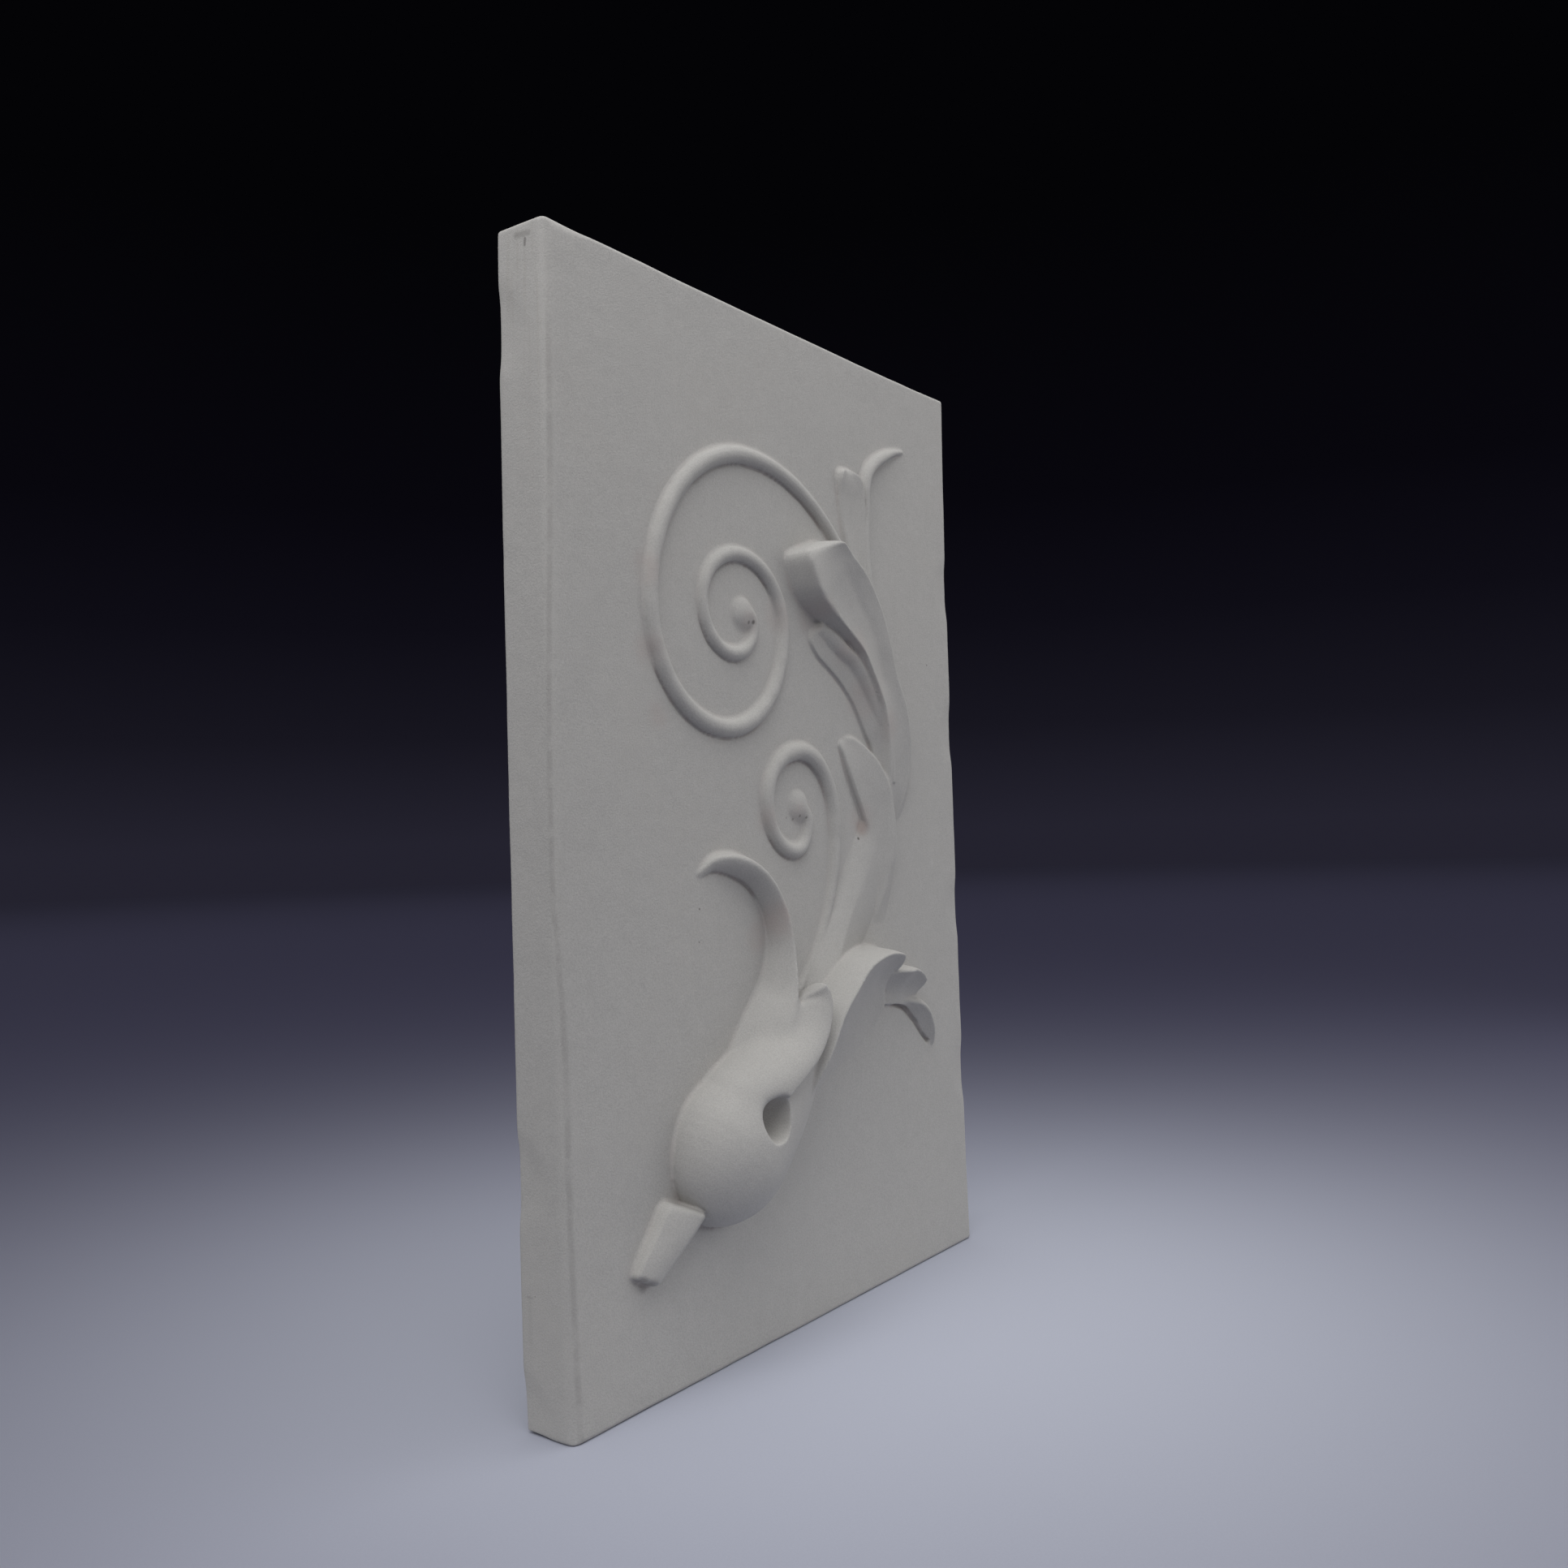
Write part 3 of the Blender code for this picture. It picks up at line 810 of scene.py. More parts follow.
@dataclass(frozen=True)
class Foliage:
    """The stem, its pointed sheath, the folded leaf and the sprig at the top."""

    stem: Rows = ((146, 110, 6, 20, 12), (162, 132, 14, 22, 12), (180, 155, 17, 26, 9),
                  (196, 176, 17, 28, 7),
                  (211, 194, 17, 28, 5.5), (224, 212, 16, 26, 4.4), (234, 230, 14, 24, 3.6),
                  (242, 250, 12, 20, 3), (247, 272, 9, 12, 2))
    sheath: Rows = ((221, 174, 235, 172, 0.2, 0.2), (228, 196, 244, 193, 1.0, 3.8),
                    (230, 212, 250, 210, 2.2, 7), (228, 228, 252, 228, 3.0, 8.2),
                    (223, 242, 250, 245, 3.4, 8.6), (215, 256, 244, 261, 3.5, 8.6),
                    (208, 269, 234, 275, 3.3, 7.4), (203, 280, 221, 285, 2.4, 4.6),
                    (199, 288, 208, 291, 1.0, 1.8))
    leaf: Rows = ((257, 232, 264, 236, 0.2, 0.2), (249, 254, 272, 256, 6.5, 4.5),
                  (247, 272, 275, 274, 9, 6.5), (245, 290, 273, 292, 10.5, 9),
                  (238, 312, 266, 312, 12, 11), (224, 332, 254, 332, 13, 12),
                  (212, 345, 244, 351, 14, 14), (196, 355, 236, 366, 14.5, 15),
                  (181, 363, 226, 379, 15.5, 16), (167, 371, 212, 391, 16.5, 18),
                  (158, 379, 201, 397, 17.5, 19.5), (152, 390, 190, 403, 17.5, 20.5),
                  (150, 397, 183, 407, 16.5, 21.5), (152, 401, 177, 409, 14, 21.5),
                  (156, 403.5, 172, 409.5, 12, 21))
    lower_fold: Rows = ((242, 262, 254, 262, 3.0, 7), (237, 284, 250, 286, 2.6, 8.5),
                        (230, 294, 245, 300, 2.3, 8.5), (222, 306, 240, 312, 2.1, 8),
                        (215, 315, 232, 324, 2.0, 7.5), (202, 326, 221, 334, 2.0, 6.5),
                        (189, 334, 207, 342, 2.0, 5.5), (179, 340, 195, 350, 2.0, 4.5),
                        (172, 347, 184, 356, 1.8, 3.5), (169, 353, 176, 358, 1.2, 2.5))
    second_ridge: Rows = ((178, 358, 5, 6, 5), (190, 352, 6, 8, 8), (201, 345, 6, 8, 9),
                          (211, 340, 6, 8, 9.5), (224, 328, 6, 8, 9.5), (238, 306, 4, 6, 8),
                          (245, 288, 2, 4, 5))
    spoon: Rows = ((230, 384, 238, 386, 5, 6), (219, 404, 234, 405, 3.2, 5),
                   (212, 426, 232, 426, 2.6, 5), (209, 445, 231, 443, 3, 5.5),
                   (208, 456, 229, 455, 4.5, 6), (210, 464, 223, 464, 4.5, 5.5))
    hook: Rows = ((236, 394, 4, 4, 5), (235, 420, 4, 4, 5), (237, 440, 4.5, 4, 5),
                  (237, 454, 4.5, 4, 5.5), (241, 465, 5, 4, 5.5), (251, 474, 5, 3.5, 5),
                  (264, 481, 4.5, 3, 4.5), (277, 486.5, 3, 2.2, 3), (290, 490, 1.2, 1, 1))

    def forms(self) -> list[Form]:
        """All forms of the foliage.

        Returns:
            The forms, from the stem to the sprig.
        """
        return [
            lump("stem", self.stem, Flank.SOFT, Flank.SOFT),
            blade("sheath", self.sheath, (2, 2), (12, 4), Flank.SWELLING, Flank.EASED,
                  blunt=(0, 4), sag=0.8),
            blade("leaf", self.leaf, (3, 6), (8, 8), Flank.EASED, Flank.EASED,
                  blunt=(0, 3.5), sag=2.2, squared=True, left_tip=Flank.COVE),
            blade("lower_fold", self.lower_fold, (1.5, 1.5), (6, 6), Flank.SWELLING,
                  Flank.ROUND, blunt=(0, 4)),
            lump("second_ridge", self.second_ridge, Flank.ROUND, Flank.EASED),
            blade("spoon", self.spoon, (3, 3), (2, 2), Flank.ROUND, Flank.SWELLING,
                  blunt=(0, 5), sag=2),
            lump("hook", self.hook, Flank.ROUND, Flank.FULL),
        ]

    def build(self, grid: DrawingGrid, clay: Clay) -> None:
        """Add the foliage to the clay.

        Args:
            grid: The grid that it is drawn on.
            clay: The clay that it is added to.
        """
        for form in self.forms():
            clay.add_rings(form.rings(grid))


@dataclass(frozen=True)
class Unevenness:
    """Smooth random swelling of a hand-finished surface, from a seeded lattice of values."""

    cell: float
    seed: int

    def at(self, points: np.ndarray) -> np.ndarray:
        """The swelling at each point, roughly from -1 to 1.

        Args:
            points: Points in the shared frame, one in each row.

        Returns:
            One number for each point.
        """
        random = np.random.default_rng(self.seed)
        scaled = points / self.cell
        lowest = np.floor(scaled.min(axis=0)).astype(int)
        size = np.ceil(scaled.max(axis=0)).astype(int) - lowest + 3
        lattice = random.uniform(-1, 1, size)
        base = np.floor(scaled).astype(int) - lowest
        part = scaled - np.floor(scaled)
        part = part * part * (3 - 2 * part)
        total = np.zeros(len(points))
        for corner in range(8):
            step = np.array([corner >> 2 & 1, corner >> 1 & 1, corner & 1])
            weight = np.prod(np.where(step, part, 1 - part), axis=1)
            x, y, z = (base + step).T
            total += weight * lattice[x, y, z]
        return total


@dataclass(frozen=True)
class Touch:
    """How the tools feel the surface: where each starts to bite and how quickly it does.

    A bend is how far a point lies below its neighbours, in squares, so it is above nothing in
    a corner and below nothing on an edge.
    """

    path_margin: float = 2.5
    least_share: float = 0.02
    melt_gain: float = 1.6
    melt_most: float = 0.9
    upward_gain: float = 2.0
    upward_start: float = 0.4
    corner_start: float = 0.03
    corner_gain: float = 12.0
    corner_passes: int = 2
    turning_passes: int = 5
    turning_share: float = 0.6
    facing_gain: float = 5.0
    under_allowance: float = 0.15
    side_allowance: float = 1.6
    side_gain: float = 4.0
    soft_gain: float = 2.0
    soft_most: float = 0.5
    knife_start: float = 0.06
    knife_gain: float = 14.0
    hollow_passes: int = 6
    hollow_gain: float = 9.0


def neighbour_sums(edges: np.ndarray, values: np.ndarray, count: int) -> np.ndarray:
    """Add up the values of each point's neighbours.

    Args:
        edges: The two ends of each edge, one edge in each row.
        values: One row for each point.
        count: The number of points.

    Returns:
        The sums, one row for each point.
    """
    first, second = edges.T
    return np.stack([np.bincount(first, column[second], count)
                     + np.bincount(second, column[first], count)
                     for column in values.T], axis=1)


class CastSurface:
    """The fused cast as arrays of points that the finishing tools work on."""

    touch: Touch = Touch()

    def __init__(self, mesh: bpy.types.Mesh, grid: DrawingGrid) -> None:
        """Read the points and edges of a mesh.

        Args:
            mesh: The fused cast.
            grid: The grid that the tools are placed on.
        """
        self.mesh = mesh
        self.grid = grid
        count = len(mesh.vertices)
        points = np.zeros(count * 3, np.float32)
        mesh.vertices.foreach_get("co", points)
        self.points = points.reshape(-1, 3).astype(float)
        edges = np.zeros(len(mesh.edges) * 2, np.int32)
        mesh.edges.foreach_get("vertices", edges)
        self.edges = edges.reshape(-1, 2)
        self.around = np.bincount(self.edges.ravel(), minlength=count)

    def neighbours(self, values: np.ndarray) -> np.ndarray:
        """The mean of each point's neighbours.

        Args:
            values: One row for each point.

        Returns:
            The mean of the neighbouring rows, one for each point.
        """
        count = len(self.points)
        sums = neighbour_sums(self.edges, values.reshape(count, -1), count)
        return (sums / self.around[:, None]).reshape(values.shape)

    def outward(self) -> np.ndarray:
        """The direction that the surface faces.

        Returns:
            One direction for each point.
        """
        self.write()
        faces = np.zeros(len(self.mesh.vertices) * 3, np.float32)
        self.mesh.vertex_normals.foreach_get("vector", faces)
        return faces.reshape(-1, 3).astype(float)

    def write(self) -> None:
        """Put the points back in the mesh."""
        self.mesh.vertices.foreach_set("co", self.points.astype(np.float32).ravel())
        self.mesh.update()

    def bends(self, facing: np.ndarray, passes: int) -> np.ndarray:
        """How far each point lies in a corner, or stands on an edge where that is negative.

        Args:
            facing: The direction that the surface faces at each point.
            passes: How often the bends are spread to their neighbours.

        Returns:
            One bend for each point, in squares.
        """
        bend = ((self.neighbours(self.points) - self.points) * facing).sum(axis=1)
        bend = bend / self.grid.square
        for _ in range(passes):
            bend = 0.5 * bend + 0.5 * self.neighbours(bend)
        return bend

    def rub(self, passes: int, weight: np.ndarray | float = 0.5) -> None:
        """Rub the surface smooth.

        Args:
            passes: How often.
            weight: How much at each point, from 0 to 1.
        """
        share = np.broadcast_to(weight, len(self.points))[:, None]
        for _ in range(passes):
            self.points += share * (self.neighbours(self.points) - self.points)

    def swell(self, cell: float, height: float, seed: int) -> None:
        """Raise and sink the surface softly at random.

        Args:
            cell: The usual distance between swellings.
            height: The most that the surface moves.
            seed: The seed of the random numbers.
        """
        self.points += self.outward() * (Unevenness(cell, seed).at(self.points)
                                         * height)[:, None]

    def nearness(self, path: Rows, reach: float) -> np.ndarray:
        """How near each point is to a drawn path.

        Args:
            path: Rows of squares across and up and the rise.
            reach: Where the nearness has fallen off, in squares.

        Returns:
            One number for each point: 1 on the path and 0 far from it.
        """
        line = np.array(path, float)
        places = np.stack(self.grid.squares(self.points), axis=1)
        margin = self.touch.path_margin * reach
        near = np.all((places > line.min(axis=0) - margin)
                      & (places < line.max(axis=0) + margin), axis=1)
        chosen = places[near]
        nearest = np.full(len(chosen), np.inf)
        for start, end in zip(line, line[1:]):
            way = end - start
            share = np.clip((chosen - start) @ way / (way @ way), 0, 1)
            gap = chosen - (start + share[:, None] * way)
            nearest = np.minimum(nearest, np.sqrt((gap * gap).sum(axis=1)))
        found = np.zeros(len(self.points))
        found[near] = np.exp(-(nearest / reach) ** 2)
        return found

    def groove(self, path: Rows, width: float, depth: float) -> None:
        """Press a groove along a drawn path.

        Args:
            path: Rows of squares across and up and the rise.
            width: Half the width of the groove, in squares.
            depth: How deep it is, in squares.
        """
        move = self.nearness(path, width) * depth * self.grid.square
        self.points -= self.outward() * move[:, None]

    def undercut(self, path: Rows, width: float, depth: float) -> None:
        """Press the faces that look up along a drawn path straight down.

        Args:
            path: Rows of squares across and up and the rise.
            width: Half the width of the pressed band, in squares.
            depth: How far it is pressed down, in squares.
        """
        upward = np.clip(self.outward()[:, 2] * self.touch.upward_gain
                         - self.touch.upward_start, 0, 1)
        self.points[:, 2] -= self.nearness(path, width) * upward * depth * self.grid.square

    def melt(self, path: Rows, reach: float, passes: int) -> None:
        """Rub the surface along a drawn path until the forms there flow into each other.

        Args:
            path: Rows of squares across and up and the rise.
            reach: How far from the path the rubbing goes, in squares.
            passes: How often.
        """
        touch = self.touch
        weight = self.nearness(path, reach)
        touched = np.any(weight[self.edges] > touch.least_share, axis=1)
        spots, places = np.unique(self.edges[touched], return_inverse=True)
        edges = places.reshape(-1, 2)
        held = weight[spots]
        share = (np.clip(held * touch.melt_gain, 0, touch.melt_most)
                 * (held > touch.least_share))[:, None]
        points = self.points[spots]
        around = self.around[spots][:, None]
        for _ in range(passes):
            points += share * (neighbour_sums(edges, points, len(spots)) / around - points)
        self.points[spots] = points

    def clean_corners(self, depth: float, passes: int) -> None:
        """Cut the corners under a form sharp with a knife and leave those above it soft.

        Args:
            depth: How deep the knife goes, in squares.
            passes: How often the soft corners are rubbed.
        """
        touch = self.touch
        facing = self.outward()
        bend = self.bends(facing, touch.corner_passes)
        turned = facing
        for _ in range(touch.turning_passes):
            turned = ((1 - touch.turning_share) * turned
                      + touch.turning_share * self.neighbours(turned))
        across, up = turned[:, 0], turned[:, 2]
        corner = np.clip((bend - touch.corner_start) * touch.corner_gain, 0, 1)
        under = np.clip(-up * touch.facing_gain + touch.under_allowance, 0, 1)
        beside = np.clip(touch.side_allowance - across * touch.side_gain, 0, 1)
        self.points -= facing * (corner * under * beside * depth * self.grid.square)[:, None]
        self.rub(passes, touch.soft_most * np.clip(corner * touch.soft_gain, 0, 1)
                 * np.clip(up * touch.facing_gain, 0, 1))

    def knife(self, paths: tuple[Rows, ...], reach: float, depth: float) -> None:
        """Cut the corners near drawn paths sharp and note them for painted shade in the finish.

        Args:
            paths: The paths, each as rows of squares across and up and the rise.
            reach: How far from a path a corner may lie, in squares.
            depth: How deep the knife goes, in squares.
        """
        near = np.max([self.nearness(path, reach) for path in paths], axis=0)
        facing = self.outward()
        bend = self.bends(facing, passes=1)
        cut = near * np.clip((bend - self.touch.knife_start) * self.touch.knife_gain, 0, 1)
        self.points -= facing * (cut * depth * self.grid.square)[:, None]
        # The note darkens these corners with painted shade in the finish.
        self.note("contact_shade", cut)

    def seat(self, floor: float, back: float) -> None:
        """Rub flat what hangs below the floor or stands out behind the back.

        Args:
            floor: The height of the floor.
            back: The place of the back.
        """
        self.points[:, 2] = np.maximum(self.points[:, 2], floor)
        self.points[:, 1] = np.minimum(self.points[:, 1], back)

    def dent(self, spots: Rows, reach: float, depth: float, power: float) -> None:
        """Press dents into the surface.

        Args:
            spots: Rows of squares across and up and the rise of each dent.
            reach: Its radius, in squares.
            depth: How deep it is, in squares.
            power: How abruptly it falls off.
        """
        places = np.stack(self.grid.squares(self.points), axis=1)
        move = np.zeros(len(self.points))
        for spot in spots:
            gap = np.sqrt(((places - np.array(spot)) ** 2).sum(axis=1))
            move += np.exp(-(gap / reach) ** power) * depth * self.grid.square
        self.points -= self.outward() * move[:, None]

    def note(self, name: str, values: np.ndarray) -> None:
        """Store a number at each point for the finish to read.

        Args:
            name: The name of the attribute.
            values: One number for each point.
        """
        made = self.mesh.attributes.new(name, "FLOAT", "POINT")
        made.data.foreach_set("value", values.astype(np.float32))

    def note_hollows(self) -> None:
        """Note how deep each point lies in a crevice, for painted shade there, and how proud it
        stands on an edge.
        """
        bend = self.bends(self.outward(), self.touch.hollow_passes)
        self.note("crevice", np.clip(bend * self.touch.hollow_gain, 0, 1))
        self.note("rim", np.clip(-bend * self.touch.hollow_gain, 0, 1))


@dataclass(frozen=True)
class Melt:
    """A drawn path along which forms flow into each other: its reach and how often it is rubbed."""

    path: Rows
    reach: float
    passes: int


@dataclass(frozen=True)
class Groove:
    """A groove pressed along a drawn path: half its width and its depth, in squares."""

    path: Rows
    width: float
    depth: float


@dataclass(frozen=True)
class Cast:
    """The whole relief: its slab, its ornament, and how it is fused, worked over and thinned.

    The worn edges are dents beside the slab's left back and right edges.
    """

    name: str = "relief_cast"
    grid: DrawingGrid = DrawingGrid()
    slab: Slab = Slab()
    calyx: Calyx = Calyx()
    foliage: Foliage = Foliage()
    big_volute: Volute = Volute(
        "big_volute",
        ((260, 270), (113, 451), (21, 355), (83, 291), (141, 353), (100, 392), (65, 362),
         (91, 334), (112, 351), (103, 360)),
        start=0.25, root_radius=0.0050, belly_radius=0.0056, eye_radius=0.0042,
        eye_spot=(102, 358), eye_size=(0.0095, 0.0090, 0.0036))
    small_volute: Volute = Volute(
        "small_volute",
        ((100, 121), (190, 236), (155, 280), (120, 250), (147, 220), (161, 237), (153, 246)),
        start=0.33, root_radius=0.0033, belly_radius=0.0058, eye_radius=0.0046,
        eye_spot=(152, 247), eye_size=(0.0095, 0.0090, 0.0036))
    pressed: tuple[Groove, ...] = (
        Groove(((243, 119, 0.5), (250, 118, 0.5), (258, 116, 0.5), (268, 112, 0.5),
                (274, 107.5, 0.5), (282, 101, 0.5), (290, 93, 0.5), (298, 86, 0.5)),
               width=1.4, depth=2.2),
        Groove(((190, 390, 18), (208, 374, 15), (218, 365, 14), (227, 355, 13),
                (234, 343, 12), (240, 328, 11)), width=4.5, depth=0.5))
    # Contact lines under the forms, cut sharp by the knife and darkened with painted shade in the
    # finish.
    contacts: tuple[Rows, ...] = (
        ((48, 28, 4), (54, 22, 0.5), (62, 20, 0.5), (70, 18, 0.5), (78, 17, 0.5), (86, 17, 0.5),
         (93, 18, 0.5)),
        ((62, 208, 0.5), (76, 209, 0.5), (87, 206, 0.5), (94, 202, 0.5), (103, 197, 0.5)),
        ((250, 119, 0.5), (261, 118, 0.5), (270, 116, 0.5), (279, 113, 0.5), (284, 108, 0.5),
         (289, 102, 0.5), (294, 94, 0.5), (300, 84, 0.5)),
        ((27, 317, 0.5), (37, 306, 0.5), (49, 296, 0.5), (67, 288, 0.5), (83, 285, 0.5),
         (102, 287, 0.5), (112, 290, 0.5)),
        ((64, 427, 0.5), (79, 436, 0.5), (94, 443, 0.5), (112, 446, 0.5), (128, 446, 0.5),
         (147, 442, 0.5), (166, 434, 0.5), (184, 425, 0.5)),
        ((80, 381, 0.5), (90, 386, 0.5), (102, 387, 0.5), (114, 385, 0.5), (127, 377, 0.5)),
        ((63, 347, 0.5), (70, 336, 0.5), (80, 331, 0.5), (89, 328, 0.5), (97, 329, 0.5)),
        ((148, 273, 0.5), (160, 275, 0.5), (170, 271, 0.5), (177, 267, 0.5), (184, 257, 0.5)),
        ((121, 226, 0.5), (130, 219, 0.5), (141, 215, 0.5), (156, 217, 0.5)))
    sepal_lip: Rows = ((116, 144, 10), (134, 147, 10))
    worn_edges: Rows = ((-52, 488, -36), (-52, 64, -36), (-52, -52, -36), (353, 402, 4),
                        (353, 298, 4), (353, 176, 4), (353, 60, 4))
    melted: tuple[Melt, ...] = (
        Melt(((150, 396, 17), (153, 388, 18), (160, 377, 17), (177, 364, 15)), 3, 12),
        Melt(((60, 82, 30), (70, 92, 28), (80, 104, 20)), 9, 70),
        Melt(((70, 96, 16), (86, 108, 18), (100, 122, 18), (108, 138, 16)), 9, 70),
        Melt(((112, 118, 25), (118, 128, 25)), 5, 40),
        Melt(((206, 200, 5), (218, 214, 5), (226, 226, 5)), 6, 50),
        Melt(((246, 206, 6), (252, 226, 6), (252, 244, 6)), 8, 60),
        Melt(((99, 359, 3), (102, 355, 3)), 6, 24),
        Melt(((149, 248, 3), (152, 244, 3)), 6, 24))
    voxel: float = 0.00085
    quick_voxel: float = 0.0016
    quick_passes: int = 16
    most_triangles: int = 190000

    def shape(self, finish: bpy.types.Material) -> bpy.types.Mesh:
        """Gather all forms and fuse them into one closed surface.

        Args:
            finish: The material of the cast.

        Returns:
            The fused mesh.
        """
        clay = Clay()
        clay.add_mesh(self.slab.build())
        self.calyx.build(self.grid, clay)
        self.foliage.build(self.grid, clay)
        tree = TendrilTree(finish)
        for volute in (self.big_volute, self.small_volute):
            volute.build(self.grid, tree, clay)
        item = shown("clay", clay.mesh("clay"))
        fuse = item.modifiers.new("fuse", "REMESH")
        fuse.mode = "VOXEL"
        fuse.voxel_size = self.voxel
        fuse.adaptivity = 0
        fuse.use_smooth_shade = True
        return settled(item)

    def work_over(self, surface: CastSurface) -> None:
        """Finish the fused surface with the maker's tools.

        Args:
            surface: The fused cast.
        """
        surface.rub(passes=1)
        for melt in self.melted:
            passes = melt.passes
            surface.melt(melt.path, melt.reach, passes)
        for groove in self.pressed:
            surface.groove(groove.path, groove.width, groove.depth)
        surface.undercut(self.sepal_lip, width=10, depth=7)
        surface.clean_corners(depth=0.8, passes=8)
        surface.knife(self.contacts, reach=5, depth=0.35)
        surface.dent(self.worn_edges, reach=20, depth=1.1, power=5)
        surface.swell(cell=0.045, height=0.00022, seed=11)
        surface.swell(cell=0.014, height=0.00010, seed=12)
        surface.seat(floor=0.0, back=self.slab.thickness / 2)
        surface.note_hollows()
        surface.write()

    def thin(self, mesh: bpy.types.Mesh) -> bpy.types.Mesh:
        """Spend fewer faces where the cast is flat.

        Args:
            mesh: The finished surface.

        Returns:
            The mesh with at most the wanted number of triangles.
        """
        item = shown("fused", mesh)
        thinner = item.modifiers.new("thin", "DECIMATE")
        thinner.decimate_type = "COLLAPSE"
        thinner.ratio = min(1.0, self.most_triangles / (2 * len(mesh.polygons)))
        thinner.use_collapse_triangulate = True
        return settled(item)

    def build(self, finish: bpy.types.Material) -> bpy.types.Object:
        """Make the cast and dress it.

        Args:
            finish: The material of the cast.

        Returns:
            The finished piece, at the origin.
        """
        fused = self.shape(finish)
        log.info("fused: %d faces", len(fused.polygons))
        self.work_over(CastSurface(fused, self.grid))
        mesh = self.thin(fused)
        mesh.name = self.name
        mesh.materials.clear()
        mesh.materials.append(finish)
        mesh.shade_smooth()
        piece = shown(self.name, mesh)
        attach(piece, "root")
        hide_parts("plaster_relief")
        return piece


class Wire:
    """A socket of a shader tree, or a number, that sums can be written with."""

    def __init__(self, bench: "Bench", socket: bpy.types.NodeSocket) -> None:
        """Wrap a socket.

        Args:
            bench: The bench that the socket is on.
            socket: The output socket.
        """
        self.bench = bench
        self.socket = socket

    def __add__(self, other: "Wire | float") -> "Wire":
        """Sum."""
        return self.bench.sum("ADD", self, other)

    def __radd__(self, other: float) -> "Wire":
        """Sum, from the right."""
        return self.bench.sum("ADD", other, self)

    def __sub__(self, other: "Wire | float") -> "Wire":
        """Difference."""
        return self.bench.sum("SUBTRACT", self, other)

    def __rsub__(self, other: float) -> "Wire":
        """Difference, from the right."""
        return self.bench.sum("SUBTRACT", other, self)

    def __mul__(self, other: "Wire | float") -> "Wire":
        """Product."""
        return self.bench.sum("MULTIPLY", self, other)

    def __rmul__(self, other: float) -> "Wire":
        """Product, from the right."""
        return self.bench.sum("MULTIPLY", other, self)

    def __truediv__(self, other: "Wire | float") -> "Wire":
        """Quotient."""
        return self.bench.sum("DIVIDE", self, other)

    def __rtruediv__(self, other: float) -> "Wire":
        """Quotient, from the right."""
        return self.bench.sum("DIVIDE", other, self)

    def __abs__(self) -> "Wire":
        """Size without sign."""
        return self.bench.sum("ABSOLUTE", self)


class Bench:
    """A shader tree under construction."""

    def __init__(self, material: bpy.types.Material) -> None:
        """Clear the tree of a material and start on it.

        Args:
            material: The material.
        """
        material.use_nodes = True
        self.tree = material.node_tree
        self.tree.nodes.clear()

    def node(self, kind: str, settings: dict[str, object] | None = None,
             inputs: dict[str | int, object] | None = None) -> bpy.types.Node:
        """Add a node.

        Args:
            kind: The type of the node.
            settings: Its settings, which are set first.
            inputs: A value or a wire for each socket, by its name or number.

        Returns:
            The node.
        """
        made = self.tree.nodes.new(kind)
        for name, value in (settings or {}).items():
            setattr(made, name, value)
        for name, value in (inputs or {}).items():
            if isinstance(value, Wire):
                self.tree.links.new(value.socket, made.inputs[name])
            else:
                made.inputs[name].default_value = value
        return made

    def wire(self, kind: str, settings: dict[str, object] | None = None,
             inputs: dict[str | int, object] | None = None, output: str | int = 0) -> Wire:
        """Add a node and take one of its outputs.

        Args:
            kind: The type of the node.
            settings: Its settings.
            inputs: A value or a wire for each socket.
            output: The name or number of the output.

        Returns:
            The wrapped output.
        """
        return Wire(self, self.node(kind, settings, inputs).outputs[output])

    def sum(self, operation: str, first: Wire | float, second: Wire | float = 0.0) -> Wire:
        """A Math node."""
        return self.wire("ShaderNodeMath", {"operation": operation}, {0: first, 1: second})

    def vector(self, operation: str, first: Wire | Point, second: Wire | Point,
               output: str = "Vector") -> Wire:
        """A Vector Math node with two vectors."""
        return self.wire("ShaderNodeVectorMath", {"operation": operation},
                         {0: first, 1: second}, output)

    def least(self, first: Wire | float, second: Wire | float) -> Wire:
        """The smaller of two."""
        return self.sum("MINIMUM", first, second)

    def most(self, first: Wire | float, second: Wire | float) -> Wire:
        """The larger of two."""
        return self.sum("MAXIMUM", first, second)

    def ramp(self, value: Wire, low: float, high: float, start: float = 0.0,
             end: float = 1.0) -> Wire:
        """A smooth step from one value to another.

        Args:
            value: What is read.
            low: Where the step starts.
            high: Where it ends.
            start: The result at and below low.
            end: The result at and above high.

        Returns:
            The result.
        """
        return self.wire("ShaderNodeMapRange", {"interpolation_type": "SMOOTHSTEP"}, {
            "Value": value, "From Min": low, "From Max": high, "To Min": start, "To Max": end,
        })

    def noise(self, place: Wire, scale: float, detail: float = 2.0,
              roughness: float = 0.5) -> Wire:
        """Smooth noise.

        Args:
            place: Where it is read.
            scale: How many swellings go to a metre.
            detail: How many finer layers it has.
            roughness: How strong the finer layers are.

        Returns:
            A value from 0 to 1, mostly near a half.
        """
        return self.wire("ShaderNodeTexNoise", None, {
            "Vector": place, "Scale": scale, "Detail": detail, "Roughness": roughness,
        }, "Fac")

    def tint(self, share: Wire | float, base: Wire | tuple, over: Wire | tuple,
             blend: str = "MIX") -> Wire:
        """One colour laid over another.

        Args:
            share: How much of the second colour shows.
            base: The first colour.
            over: The second colour.
            blend: How they are blended.

        Returns:
            The colour.
        """
        return self.wire("ShaderNodeMix", {"data_type": "RGBA", "blend_type": blend},
                         {0: share, 6: base, 7: over}, 2)


